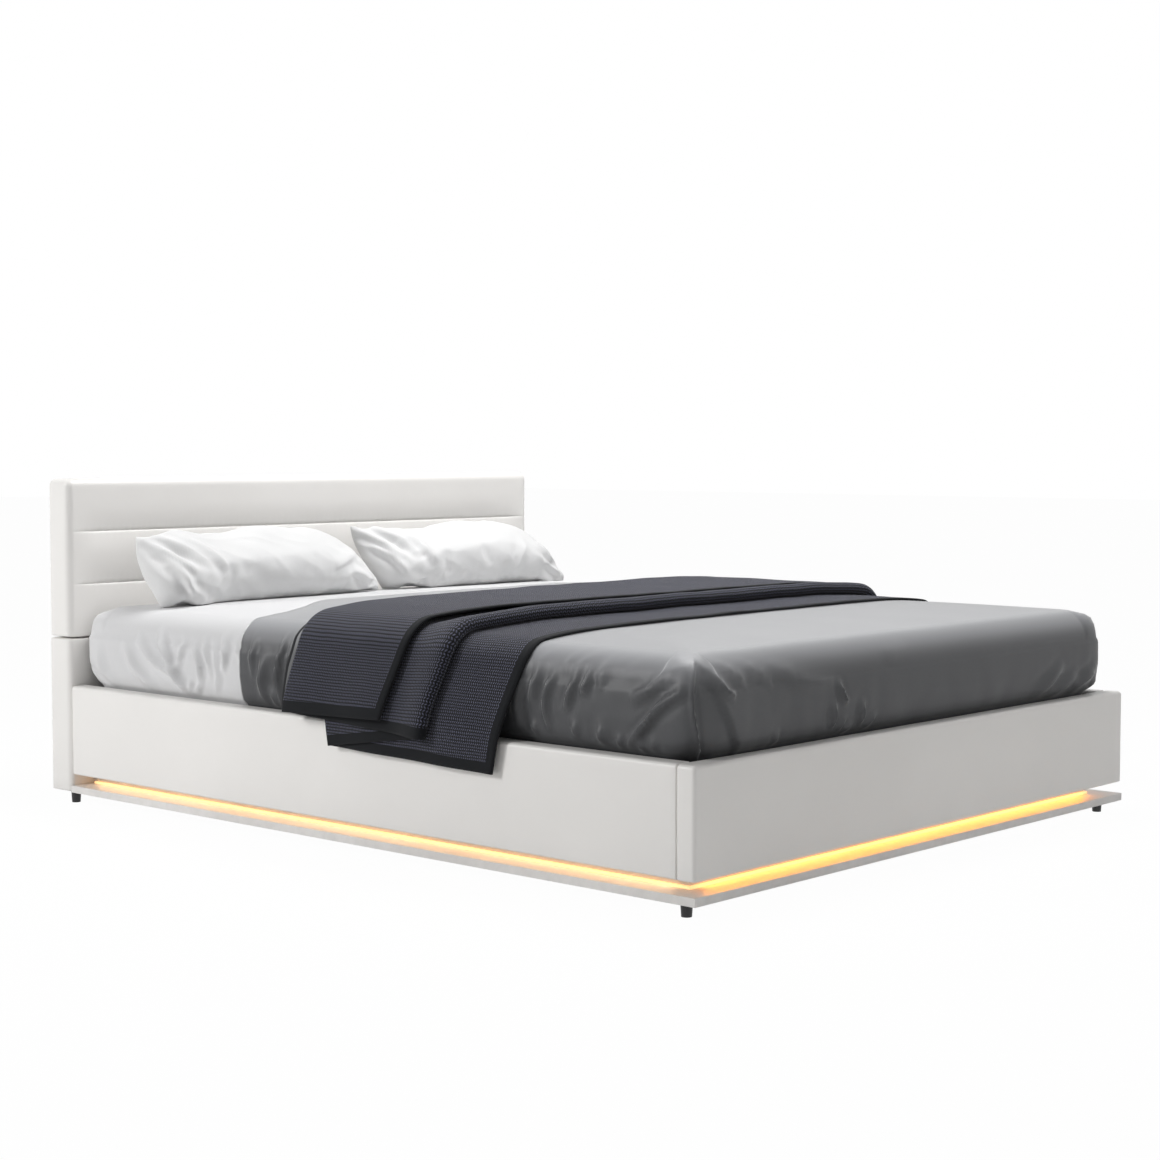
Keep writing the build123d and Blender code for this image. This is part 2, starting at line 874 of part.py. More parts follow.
def strut_cylinder():
    plane, _ = strut_frame()
    body_end = strut_body_start + strut_body_length
    disc, hole = strut_eye(strut_eye_radius, 0, running_clearance)
    body = disc + strut_bar(strut_radius, strut_body_start, body_end)
    bore = strut_bar(rod_radius + running_clearance, body_end - rod_bore_depth,
                     body_end + overrun)
    return plane * (body - hole - bore)


def strut_rod():
    plane, length = strut_frame()
    body_end = strut_body_start + strut_body_length
    tail = body_end - rod_bore_depth + rod_tail_gap
    disc, hole = strut_eye(rod_eye_radius, length, open_pivot_clearance)
    return plane * (disc + strut_bar(rod_radius, tail, length) - hole)


# Mattress and bedding

def side_outline(half, low, high, crown):
    """Half outline of a padded block from its bottom edge to the middle of its crown."""
    middle = (low + high) / 2
    shoulder = high - mattress_shoulder
    corner = mattress_shoulder * (1 - math.sqrt(0.5))
    hip = (half - mattress_bulge / 2, shoulder)
    edge = (half - mattress_shoulder, high)
    flank = (half * crown_flank_share, high + crown * crown_flank_rise_share)
    rising = (edge[0] + (flank[0] - edge[0]) * crown_arc_share,
              high + crown * crown_flank_rise_share * crown_arc_rise_share)
    levelling = (flank[0] / 2, flank[1] + (high + crown - flank[1]) * crown_top_share)
    return [
        ThreePointArc((half - mattress_bulge, low), (half, middle), hip),
        ThreePointArc(hip, (half - corner, high - corner), edge),
        ThreePointArc(edge, rising, flank),
        ThreePointArc(flank, levelling, (0, high + crown)),
    ]


def padded_profile(half, low, high, crown, plane, length):
    """Crowned outline, closed along its flat bottom and extruded to length."""
    edges = side_outline(half, low, high, crown)
    mirrored = [mirror(edge, about=Plane.YZ) for edge in edges]
    bottom = Line((mattress_bulge - half, low), (half - mattress_bulge, low))
    return extrude(plane * make_face(edges + mirrored + [bottom]), amount=length)


def mattress_form(grow, low):
    """The mattress grown outwards by grow, cut off below at low."""
    half_w = mattress_width / 2 + grow
    half_l = mattress_length / 2 + grow
    high = platform_top + mattress_height + grow
    across = padded_profile(half_w, low, high, mattress_crown,
                            cross_plane(mattress_middle + half_l), 2 * half_l)
    along_plane = Plane(origin=(-half_w, mattress_middle, 0), x_dir=(0, 1, 0), z_dir=(1, 0, 0))
    along = padded_profile(half_l, low, high, mattress_crown, along_plane, 2 * half_w)
    tall = mattress_height + mattress_crown + grow + overrun
    plan = RectangleRounded(2 * (half_w + overrun), 2 * (half_l + overrun),
                            mattress_corner_radius)
    column = extrude(Pos(0, mattress_middle, low) * plan, amount=tall)
    return across & along & column


def mattress():
    return mattress_form(0, platform_top)


def sheet_form():
    low = platform_top + sheet_hem_rise
    outer = mattress_form(soft_clearance + sheet_thickness, low)
    return outer - mattress_form(soft_clearance, low - sheet_hem_rise)


def coverlet_head():
    return mattress_middle - mattress_length / 2 + coverlet_length


def coverlet_outer_grow():
    return 2 * soft_clearance + sheet_thickness + coverlet_thickness


def coverlet_folds(low):
    """Standing folds down both sides, crowded towards the foot, and one at each foot corner."""
    reach = mattress_width / 2 + coverlet_outer_grow() - coverlet_fold_inset
    ends = mattress_length / 2 + coverlet_outer_grow() - coverlet_fold_inset
    folds = []
    for side in (-1, 1):
        for share in coverlet_fold_place_shares:
            y = mattress_middle + share * (ends - mattress_corner_radius)
            fold = Pos(side * reach, y, low + coverlet_fold_top / 2) * Cylinder(
                coverlet_fold_radius, coverlet_fold_top)
            folds.append(fold)
        x = side * (reach - mattress_corner_radius)
        folds.append(Pos(x, mattress_middle - ends, low + coverlet_fold_top / 2)
                     * Cylinder(coverlet_fold_radius, coverlet_fold_top))
    return folds


def coverlet_window(low):
    """What the coverlet covers: its head edge runs aslant over the near shoulder."""
    y_low = mattress_middle - mattress_length
    edge = coverlet_head()
    near, far = (share * mattress_width / 2 for share in coverlet_edge_shares)
    near_edge, far_edge = (edge + step for step in coverlet_edge_steps)
    points = [(-bed_width, y_low), (-bed_width, edge), (near, near_edge), (far, far_edge),
              (bed_width, far_edge), (bed_width, y_low)]
    plan = make_face(Polyline(*points, close=True))
    return extrude(Pos(0, 0, low) * plan, amount=2 * mattress_height)


def coverlet():
    low = platform_top + sheet_hem_rise
    inner_grow = 2 * soft_clearance + sheet_thickness
    outer = mattress_form(coverlet_outer_grow(), low)
    for fold in coverlet_folds(low):
        outer = outer + fold
    shell = outer - mattress_form(inner_grow, low - sheet_hem_rise)
    return shell & coverlet_window(low)


def throw_envelope(grow):
    """Everything under the throw: the made bed and the space it hangs clear of at each side."""
    bed = mattress_form(coverlet_outer_grow() + soft_clearance + grow, platform_top)
    low = rail_top - throw_tail_reach
    high = platform_top + mattress_height + grow
    outside = half_width + throw_gap_to_rail + grow
    corner = mattress_shoulder * (1 - math.sqrt(0.5))
    turn = mattress_width / 2 + coverlet_outer_grow() + grow - corner
    points = [(0, low), (outside, low), (outside, rail_top + throw_drape_height),
              (turn, high - corner), (0, high - corner)]
    half = make_face(Polyline(*points, close=True))
    section = half + mirror(half, about=Plane.YZ)
    head = mattress_middle + mattress_length / 4
    drape = extrude(cross_plane(head) * section, amount=mattress_length / 2 + overrun)
    return bed + drape


def throw_layer(index, inside, outside):
    """One layer of the folded throw, hanging past both rails."""
    hem = rail_top + throw_hem_rises[index]
    head = throw_head_place - throw_head_steps[index]
    tall = platform_top + 2 * mattress_height
    window = block((-bed_width, bed_width), (head - throw_lengths[index], head), (hem, tall))
    return (outside - inside) & window


def throw_blanket():
    """The throw, folded in three with its layers stepping back towards the headboard."""
    count = len(throw_lengths)
    envelopes = [throw_envelope(index * throw_layer_thickness) for index in range(count + 1)]
    throw = throw_layer(0, envelopes[0], envelopes[1])
    for index in range(1, count):
        throw = throw + throw_layer(index, envelopes[index], envelopes[index + 1])
    return throw


def pillow_section(x, depth, thickness):
    upper = thickness * pillow_upper_share
    lower = thickness - upper
    outline = [
        ThreePointArc((-depth / 2, 0), (0, upper), (depth / 2, 0)),
        ThreePointArc((depth / 2, 0), (0, -lower), (-depth / 2, 0)),
    ]
    return side_plane(x) * make_face(outline)


def pillow(place_x, turn):
    """Pillow with a full middle and drawn-in ends, leaning back and pressed flat below."""
    spread = pillow_thickness - pillow_end_thickness
    sections = []
    stations = zip(pillow_station_shares, pillow_fullness_shares, pillow_depth_shares)
    for station, fullness, depth in stations:
        thickness = pillow_end_thickness + spread * fullness
        sections.append(pillow_section(station * pillow_width / 2, pillow_depth * depth,
                                       thickness))
    body = loft(sections)
    hollow_radius = (pillow_depth / 2) ** 2 / (2 * pillow_end_hollow)
    hollow = Cylinder(hollow_radius, 2 * pillow_thickness)
    shift = pillow_width / 2 + hollow_radius - pillow_end_hollow
    body = body - Pos(shift, 0, 0) * hollow - Pos(-shift, 0, 0) * hollow
    body = Rot(0, 0, turn) * Rot(pillow_tilt, 0, 0) * body
    low = body.bounding_box().min.Z
    back = body.bounding_box().max.Y
    rest = platform_top + mattress_height + mattress_crown - pillow_sink
    body = Pos(place_x, head_front - pillow_head_gap - back, rest - low) * body
    top_of_sheet = mattress_form(2 * soft_clearance + sheet_thickness, platform_top)
    return body - top_of_sheet


pieces = {
    "feet": corner_feet(),
    "centre_legs": centre_legs(),
    "plinth_left": other_side(side_plinth()),
    "plinth_right": side_plinth(),
    "plinth_foot": foot_plinth(),
    "recess_board_left": other_side(side_recess_board()),
    "recess_board_right": side_recess_board(),
    "recess_board_foot": foot_recess_board(),
    "base_board_head": head_base_board(),
    "centre_beam": centre_beam(),
    "storage_floor": storage_floor(),
    "light_strip_left": other_side(side_strip()),
    "light_strip_right": side_strip(),
    "light_strip_foot": foot_strip(),
    "light_controller": light_controller(),
    "power_inlet": power_inlet(),
    "light_cables": light_cables(),
    "rail_board_left": other_side(rail_board()),
    "rail_board_right": rail_board(),
    "rail_cover_left": other_side(rail_cover()),
    "rail_cover_right": rail_cover(),
    "footboard_board": footboard_board(),
    "footboard_cover": footboard_cover(),
    "headboard_lower_board": headboard_lower_board(),
    "headboard_lower_cover": headboard_lower_cover(),
    "headboard_upper_board": headboard_upper_board(),
    "headboard_upper_cover": headboard_upper_cover(),
    "headboard_pad_bottom": headboard_pad(0),
    "headboard_pad_middle": headboard_pad(1),
    "headboard_pad_top": headboard_pad(2),
    "headboard_battens": headboard_battens(),
    "corner_brackets": corner_brackets(),
    "bolts": all_bolts(),
    "hinge_plate_left": other_side(hinge_plate()),
    "hinge_plate_right": hinge_plate(),
    "fixed_pins": fixed_pins() + [other_side(pin) for pin in fixed_pins()],
    "foot_rest_batten": foot_rest_batten(),
    "rest_pads": rest_pads(),
    "lift_arms": [other_side(lift_arm()), lift_arm()],
    "guide_arms": [other_side(guide_arm()), guide_arm()],
    "lever_pins": [other_side(lever_pin()), lever_pin()],
    "strut_cylinders": [other_side(strut_cylinder()), strut_cylinder()],
    "strut_rods": [other_side(strut_rod()), strut_rod()],
    "platform_brackets": [other_side(platform_bracket()), platform_bracket()],
    "platform_pins": platform_pins() + [other_side(pin) for pin in platform_pins()],
    "frame_side_tubes": [other_side(frame_side_tube()), frame_side_tube()],
    "frame_end_tubes": frame_end_tubes(),
    "frame_centre_tube": frame_centre_tube(),
    "frame_cross_tubes": frame_cross_tubes(),
    "slats": slats(),
    "slat_holders": slat_holders(),
    "pull_strap": pull_strap(),
    "mattress_stops": mattress_stops(),
    "mattress": mattress(),
    "fitted_sheet": sheet_form(),
    "coverlet": coverlet(),
    "throw_blanket": throw_blanket(),
    "pillow_left": pillow(pillow_places[0], pillow_turns[0]),
    "pillow_right": pillow(pillow_places[1], pillow_turns[1]),
}

os.makedirs("parts", exist_ok=True)
for name, shape in pieces.items():
    solid = Compound(children=shape) if isinstance(shape, list) else shape
    export_step(solid, os.path.join("parts", name + ".step"))
print(len(pieces), "nodes")
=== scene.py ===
"""Dresses the upholstered storage bed: covers, light recess, bedding, fittings and stage."""

import json
import math

import bmesh
import bpy
import numpy as np
from bpy.props import FloatProperty, FloatVectorProperty, PointerProperty
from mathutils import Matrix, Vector, noise


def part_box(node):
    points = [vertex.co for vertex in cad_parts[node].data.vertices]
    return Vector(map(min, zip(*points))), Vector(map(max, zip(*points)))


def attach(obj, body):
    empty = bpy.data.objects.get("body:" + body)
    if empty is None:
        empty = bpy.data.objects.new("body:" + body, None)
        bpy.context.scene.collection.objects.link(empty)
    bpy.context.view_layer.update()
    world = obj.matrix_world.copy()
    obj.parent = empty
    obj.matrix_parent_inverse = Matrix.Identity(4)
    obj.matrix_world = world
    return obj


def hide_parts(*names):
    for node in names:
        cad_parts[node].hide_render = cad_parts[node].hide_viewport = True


bl_info = {
    "name": "Upholstered storage bed",
    "version": (1, 0, 0),
    "blender": (4, 5, 0),
    "location": "View3D > Sidebar > Bed",
    "description": "Upholstery, light recess, bedding, fittings and stage of a storage bed",
    "category": "Object",
}

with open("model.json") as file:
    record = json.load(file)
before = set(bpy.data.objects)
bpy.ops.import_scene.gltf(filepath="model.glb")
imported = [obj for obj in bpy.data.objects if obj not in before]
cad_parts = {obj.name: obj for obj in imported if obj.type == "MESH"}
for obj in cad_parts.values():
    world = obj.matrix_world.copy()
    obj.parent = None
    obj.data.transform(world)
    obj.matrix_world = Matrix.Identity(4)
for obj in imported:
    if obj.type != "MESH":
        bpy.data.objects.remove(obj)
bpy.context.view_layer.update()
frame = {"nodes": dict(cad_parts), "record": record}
MM = 0.001


def span(node):
    """Lowest and highest corner of a frame node, in millimetres."""
    low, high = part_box(node)
    return np.array(low) / MM, np.array(high) / MM


# Sizes of the made bed, in millimetres, read from the frame

MATTRESS_LOW, MATTRESS_HIGH = span("mattress")
RAIL_LOW, RAIL_HIGH = span("rail_cover_right")
HALF_WIDTH = RAIL_HIGH[0]
RAIL_TOP = RAIL_HIGH[2]
BED_FOOT = MATTRESS_LOW[1]
BED_HEAD = MATTRESS_HIGH[1]
HALF_MATTRESS = MATTRESS_HIGH[0]
# How far the middle of the mattress stands above its edge
CROWN = 13.0
# Rounding from the top into the sides, and of the outline seen from above
SHOULDER = 70.0
PLAN_RADIUS = 80.0
EDGE_LEVEL = MATTRESS_HIGH[2] - CROWN
# When the platform lifts, the sides dip between the rails below a line: its height over the rail
# tops at the head end, and its rise per mm towards the head
DIP_START = 47.0
DIP_SLOPE = 0.51
# How far the battens stand out of the headboard's flat back
BATTEN_PROUD = 0.7
# Above the rails the soft mattress swells outwards, a little less against the headboard
TOP_HALF = HALF_MATTRESS + 22.0
TOP_FOOT = BED_FOOT - 24.0
TOP_HEAD = BED_HEAD + 9.0
TOP_MIDDLE = (TOP_FOOT + TOP_HEAD) / 2


# Colours and materials

def linear(code):
    """Scene-linear red, green, blue and alpha of an sRGB hex colour."""
    values = [int(code[i:i + 2], 16) / 255 for i in (0, 2, 4)]
    return (*[v / 12.92 if v <= 0.04045 else ((v + 0.055) / 1.055) ** 2.4 for v in values], 1.0)


def add(material, kind, inputs=None, **settings):
    """Adds a shader node with its settings; an input is a value, or a socket to link from."""
    node = material.node_tree.nodes.new(kind)
    for name, value in settings.items():
        setattr(node, name, value)
    for name, value in (inputs or {}).items():
        if isinstance(value, bpy.types.NodeSocket):
            material.node_tree.links.new(value, node.inputs[name])
        else:
            node.inputs[name].default_value = value
    return node


def new_material(name):
    """An empty node material with its output."""
    material = bpy.data.materials.new(name)
    material.use_nodes = True
    material.node_tree.nodes.clear()
    return material


def maths(material, operation, *values):
    """The result of an operation on values, each a number or a socket."""
    return add(material, "ShaderNodeMath", dict(enumerate(values)), operation=operation).outputs[0]


def mixed(material, factor, first, second):
    """Colour between first and second."""
    return add(material, "ShaderNodeMix", {0: factor, 6: first, 7: second},
               data_type="RGBA").outputs[2]


def between(material, value, low=0.0, high=1.0, start=0.0, end=1.0, kind="LINEAR"):
    """A number from low to high as value goes from start to end."""
    return add(material, "ShaderNodeMapRange", {
        "Value": value, "From Min": start, "From Max": end, "To Min": low, "To Max": high},
        interpolation_type=kind).outputs[0]


def coordinates_of(material, kind):
    """Object or UV coordinates."""
    return add(material, "ShaderNodeTexCoord").outputs[kind]


def clouding(material, place, scale, detail, roughness=0.5):
    """Soft noise from 0 to 1."""
    return add(material, "ShaderNodeTexNoise", {
        "Vector": place, "Scale": scale, "Detail": detail, "Roughness": roughness}).outputs["Fac"]


def raised(material, height, strength, depth):
    """Surface relief of the given depth in mm."""
    return add(material, "ShaderNodeBump", {
        "Height": height, "Strength": strength, "Distance": depth * MM}).outputs[0]


def surfaced(material, inputs):
    """Ends a material with the main shader and these inputs."""
    shader = add(material, "ShaderNodeBsdfPrincipled", inputs)
    add(material, "ShaderNodeOutputMaterial", {"Surface": shader.outputs[0]})
    return material


def soft_leatherette(colour):
    """Coated upholstery cloth: a fine pressed pebble grain, a soft satin gloss and clouding."""
    m = new_material("pressed_grain_leatherette")
    place = coordinates_of(m, "Object")
    # Pebbles of about 1.6 mm, drawn a little coarser than the real 1 mm grain so that they show
    pebbles = add(m, "ShaderNodeTexVoronoi", {"Vector": place, "Scale": 620.0, "Randomness": 0.9})
    creases = clouding(m, place, 160.0, 4.0)
    grain = maths(m, "ADD", pebbles.outputs["Distance"], creases)
    clouds = clouding(m, place, 3.2, 2.0)
    return surfaced(m, {
        "Base Color": mixed(m, clouds, linear("E6E4E1"), (*colour, 1.0)),
        "Roughness": between(m, creases, 0.36, 0.5), "Normal": raised(m, grain, 0.16, 0.4),
        "Coat Weight": 0.08, "Coat Roughness": 0.35})


def solid_finish(name, dark, light, roughness, grain, relief, metallic=0.0, stretch=(1, 1, 1),
                 coat=0.0):
    """A hard finish: two near tones, uneven gloss and a fine relief of the given grain in mm."""
    m = new_material(name)
    place = add(m, "ShaderNodeMapping", {"Vector": coordinates_of(m, "Object"),
                                         "Scale": stretch}).outputs[0]
    fine = clouding(m, place, 1 / (grain * MM), 5.0, 0.6)
    broad = clouding(m, place, 0.12 / (grain * MM), 2.0)
    tone = between(m, maths(m, "MULTIPLY", fine, broad), start=0.14, end=0.38)
    return surfaced(m, {
        "Base Color": mixed(m, tone, linear(dark), linear(light)),
        "Roughness": between(m, broad, roughness * 0.85, min(1.0, roughness * 1.15)),
        "Metallic": metallic, "Normal": raised(m, fine, 0.3, relief), "Coat Weight": coat,
        "Coat Roughness": 0.2})


def light_diffuser(colour, strength):
    """Milky silicone over warm diodes: glows evenly, a little brighter at each diode."""
    m = new_material("milky_silicone_diffuser")
    diodes = clouding(m, coordinates_of(m, "Object"), 60.0, 1.0)
    return surfaced(m, {
        "Base Color": linear("FFE9C0"), "Roughness": 0.4, "Emission Color": (*colour, 1.0),
        "Emission Strength": between(m, diodes, strength * 0.9, strength * 1.1)})


def woven_cloth(name, dark, light, thread, roughness, relief, sheen, sheen_roughness,
                streak=0.0, kind="UV", gloss=0.4, flat=None):
    """Plain woven cloth: crossing threads of the given width in mm, slubs, and a soft nap.

    flat is a paler colour painted on the bed's top by height: a painted sheen that stands for the
    satin's grazing highlight there.
    """
    m = new_material(name)
    source = coordinates_of(m, kind)
    place = add(m, "ShaderNodeSeparateXYZ", {"Vector": source}).outputs
    turns = 2 * math.pi / (thread * MM)
    warp, weft = [maths(m, "SINE", maths(m, "MULTIPLY", place[k], turns)) for k in (0, 1)]
    along = add(m, "ShaderNodeMapping", {"Vector": source, "Scale": (60.0, 900.0, 60.0)})
    slubs = clouding(m, along.outputs[0], 1.0, 3.0)
    level = between(m, maths(m, "MULTIPLY", warp, weft), 0.25, 0.75)
    level = mixed(m, 0.35 + streak, level, slubs)
    level = mixed(m, 0.2, level, clouding(m, source, 6.0, 3.0))
    colour = mixed(m, level, linear(dark), linear(light))
    # Painted sheen: from the shoulder up to the top the colour turns to flat by height, for the
    # satin's grazing highlight
    if flat:
        height = add(m, "ShaderNodeSeparateXYZ", {"Vector": coordinates_of(m, "Object")})
        share = between(m, height.outputs[2], start=(EDGE_LEVEL - SHOULDER) * MM,
                        end=(EDGE_LEVEL + 6) * MM, kind="SMOOTHSTEP")
        colour = mixed(m, share, colour, linear(flat))
    return surfaced(m, {
        "Base Color": colour, "Roughness": roughness, "Normal": raised(m, level, 0.35, relief),
        "Sheen Weight": sheen, "Sheen Roughness": sheen_roughness, "Specular IOR Level": gloss})


def chevron_knit(dark, light, wale, stitch):
    """Thick knitted yarn: columns of slanted stitches, open between the columns."""
    m = new_material("chevron_knit_wool")
    source = coordinates_of(m, "UV")
    place = add(m, "ShaderNodeSeparateXYZ", {"Vector": source}).outputs
    drift = between(m, clouding(m, source, 14.0, 2.0), -0.25, 0.25)
    column = maths(m, "MULTIPLY_ADD", place[0], 1 / (wale * MM), drift)
    column = maths(m, "PINGPONG", column, 1.0)
    # Stitches slant by 0.62 of their length across a column, and are round in section
    row = maths(m, "MULTIPLY_ADD", column, 0.62, drift)
    row = maths(m, "MULTIPLY_ADD", place[1], 1 / (stitch * MM), row)
    yarn = between(m, maths(m, "PINGPONG", row, 0.5), start=0.12, end=0.44, kind="SMOOTHSTEP")
    gap = maths(m, "ABSOLUTE", maths(m, "SUBTRACT", column, 0.5))
    gap = between(m, gap, start=0.46, end=0.14, kind="SMOOTHSTEP")
    height = maths(m, "MULTIPLY", yarn, gap)
    fuzz = maths(m, "MULTIPLY_ADD", clouding(m, source, 900.0, 3.0), 0.25, height)
    # The colour follows the stitches' height: the hollows between them take the dark colour, a
    # painted shade in the knit's recesses
    return surfaced(m, {
        "Base Color": mixed(m, height, (*dark, 1.0), (*light, 1.0)), "Roughness": 0.92,
        "Normal": raised(m, fuzz, 0.9, 2.2), "Sheen Weight": 0.15, "Sheen Roughness": 0.5,
        "Specular IOR Level": 0.25})


# Meshes

def smoothstep(value):
    """Eases a value from 0 to 1."""
    value = np.clip(value, 0, 1)
    return value * value * (3 - 2 * value)


def unevenness(points, size, seed):
    """Smooth noise from -1 to 1 at each point, its lumps about size mm across."""
    return np.array([noise.noise(Vector(p / size) + Vector((seed, seed * 0.7, 0.0)))
                     for p in points])


def distances(line):
    """How far along a line of points each point lies."""
    return np.concatenate([[0], np.cumsum(np.linalg.norm(np.diff(line, axis=0), axis=1))])


def at_distance(line, lengths, reach):
    """The line's values at the given distances along it."""
    return np.column_stack([np.interp(reach, lengths, column) for column in np.transpose(line)])


def point_places(mesh):
    """The places of a mesh's points, in mm."""
    places = np.zeros(len(mesh.vertices) * 3, np.float32)
    mesh.vertices.foreach_get("co", places)
    return places.reshape(-1, 3).astype(float) / MM


def move_points(piece, places):
    """Moves a piece's points to places in mm."""
    piece.data.vertices.foreach_set("co", (places * MM).astype(np.float32).ravel())
    piece.data.update()


def make_piece(name, points, faces, body, materials, uv=None):
    """A smooth mesh from points in mm that rides on a body and takes its finish from a slot."""
    mesh = bpy.data.meshes.new(name)
    mesh.from_pydata((np.asarray(points, float) * MM).tolist(), [], faces)
    piece = bpy.data.objects.new(name, mesh)
    bpy.context.scene.collection.objects.link(piece)
    if uv is not None:
        corners = np.zeros(len(mesh.loops), np.int32)
        mesh.loops.foreach_get("vertex_index", corners)
        layer = mesh.uv_layers.new(name="cloth")
        layer.data.foreach_set("uv", (np.asarray(uv, float)[corners] * MM).ravel())
    mesh.polygons.foreach_set("use_smooth", np.ones(len(mesh.polygons), bool))
    for material in materials:
        mesh.materials.append(material)
    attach(piece, body)
    return piece


def grid_faces(rows, columns, start=0):
    """Quads of a grid of points laid out row after row."""
    index = np.arange(rows * columns).reshape(rows, columns) + start
    quads = np.stack([index[:-1, :-1], index[:-1, 1:], index[1:, 1:], index[1:, :-1]], -1)
    return quads.reshape(-1, 4)


def apply_modifier(piece, kind, **settings):
    """Adds a modifier with its settings and applies it."""
    bpy.ops.object.select_all(action="DESELECT")
    piece.select_set(True)
    bpy.context.view_layer.objects.active = piece
    modifier = piece.modifiers.new(kind.title(), kind)
    for name, value in settings.items():
        setattr(modifier, name, value)
    bpy.ops.object.modifier_apply(modifier=modifier.name)


def face_outwards(piece, change=None):
    """Makes every face of a closed mesh point outwards, after a change to its shell."""
    shell = bmesh.new()
    shell.from_mesh(piece.data)
    if change:
        change(shell)
    bmesh.ops.recalc_face_normals(shell, faces=shell.faces)
    shell.to_mesh(piece.data)
    shell.free()


# Padded boards

def board_lines(low, high, round_low, round_high, step):
    """Places along one side of a board: even angles round its ends, even steps between."""
    turn = np.tan(np.linspace(math.pi / 4, 0, 5))
    count = max(2, math.ceil((high - low - round_low - round_high) / step))
    middle = np.linspace(low + round_low, high - round_high, count + 1)
    return np.concatenate([low + round_low * (1 - turn[:-1]), middle,
                           high - round_high * (1 - turn[-2::-1])])


def padded_board(low, high, rounds, steps, seams=()):
    """Points, outward normals and faces of a board with softly rounded edges.

    rounds gives the rounding at the low and high end of each axis; seams adds lines across z.
    """
    low, high = np.array(low, float), np.array(high, float)
    round_low, round_high = np.array(rounds, float)
    lines = [board_lines(low[a], high[a], round_low[a], round_high[a], steps[a])
             for a in range(3)]
    for seam in seams:
        near = np.array([-9.0, -5.0, -2.6, -1.2, 0.0, 1.2, 2.6, 5.0, 9.0])
        lines[2] = np.unique(np.concatenate([lines[2][np.abs(lines[2] - seam) > 11],
                                             seam + near]))
    points, faces, start = [], [], 0
    for axis in range(3):
        first, second = [a for a in range(3) if a != axis]
        for end in (low, high):
            a, b = np.meshgrid(lines[first], lines[second], indexing="ij")
            patch = np.zeros((a.size, 3))
            patch[:, axis], patch[:, first], patch[:, second] = end[axis], a.ravel(), b.ravel()
            points.append(patch)
            faces.append(grid_faces(len(lines[first]), len(lines[second]), start=start))
            start += len(patch)
    points = np.vstack(points)
    _, first, back = np.unique(np.round(points, 4), axis=0, return_index=True,
                               return_inverse=True)
    faces = back.ravel()[np.vstack(faces)]
    points = points[first]
    inner = np.clip(points, low + round_low, high - round_high)
    reach = np.where(points < inner, round_low, round_high)
    spread = (points - inner) / reach
    spread /= np.linalg.norm(spread, axis=1)[:, None]
    normals = spread / reach
    normals /= np.linalg.norm(normals, axis=1)[:, None]
    return inner + spread * reach, normals, faces.tolist()


def crowned(points, normals, low, high, axis, amount):
    """Padding on the two broad faces: full in the middle and drawn in towards the edges."""
    share = np.ones(len(points))
    for other in range(3):
        if other != axis:
            place = (2 * points[:, other] - low[other] - high[other]) / (high[other] - low[other])
            share *= 1 - np.abs(np.clip(place, -1, 1)) ** 5
    moved = points.copy()
    moved[:, axis] += np.sign(normals[:, axis]) * np.abs(normals[:, axis]) * amount * share
    return moved


def upholster(name, nodes, low, high, rounds, steps, axis, fullness, shape=None, seams=(),
              back=None):
    """A padded cover over a board, with the slight unevenness of hand-pulled leatherette.

    Where back is given, the cover ends flat at that y.
    """
    points, normals, faces = padded_board(low, high, rounds, steps, seams)
    points = crowned(points, normals, low, high, axis, fullness)
    hand = 0.55 * unevenness(points, 230.0, len(name)) + 0.2 * unevenness(points, 70.0, 3.0)
    points = points + normals * hand[:, None]
    if shape:
        points = shape(points, normals)
    if back is not None:
        points[:, 1] = np.minimum(points[:, 1], back)
    piece = make_piece(name, points, faces, "bed_frame",
                       [bpy.data.materials["pressed_grain_leatherette"]])
    face_outwards(piece)
    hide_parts(*nodes)
    return piece


def channel_relief(points, normals):
    """Two sewn seams across the headboard front, with full channels and small puckers."""
    low, high = span("headboard_pad_middle")
    depth = bpy.context.scene.bed_upholstery.channel_depth / MM
    x, z = points[:, 0], points[:, 2]
    front = np.clip(-normals[:, 1], 0, 1)
    fade = smoothstep((HALF_WIDTH - np.abs(x)) / 110.0)
    relief = np.zeros(len(points))
    for seam in (low[2], high[2]):
        away = np.abs(z - seam)
        channel = np.clip(1 - away / 68.0, 0, 1) ** 2
        groove = np.exp(-(away / 2.2) ** 2)
        pucker = np.cos(x / 3.1 + 2.0 * np.sin(x / 47.0)) * np.exp(-away / 9.0)
        relief += depth * channel + 2.6 * groove + 0.35 * pucker * (away > 1)
    moved = points.copy()
    moved[:, 1] += front * fade * relief
    _, face, bottom = span("headboard_pad_bottom")[0]
    hem = (points[:, 2] < bottom + 4.2) & (points[:, 1] < face + 20)
    moved[hem, 1] = face + (points[hem, 1] - face) * 0.2
    return moved


# Made bed: the shape that mattress, sheet and coverlet share, grown outwards by a few mm

def rise(share):
    """How full the mattress crown is, from 1 in the middle to 0 at its edge."""
    return 1 - np.clip(np.abs(share), 0, 1) ** 6


def bed_level(x, y, grow):
    """Height of the bed's top."""
    across = rise(x / (TOP_HALF + grow - SHOULDER))
    along = rise((y - TOP_MIDDLE) / (TOP_HEAD - TOP_MIDDLE + grow - SHOULDER))
    mix = np.clip(0.5 + (along - across) / 0.3, 0, 1)
    low = along + (across - along) * mix - 0.15 * mix * (1 - mix)
    return EDGE_LEVEL + grow + CROWN * low


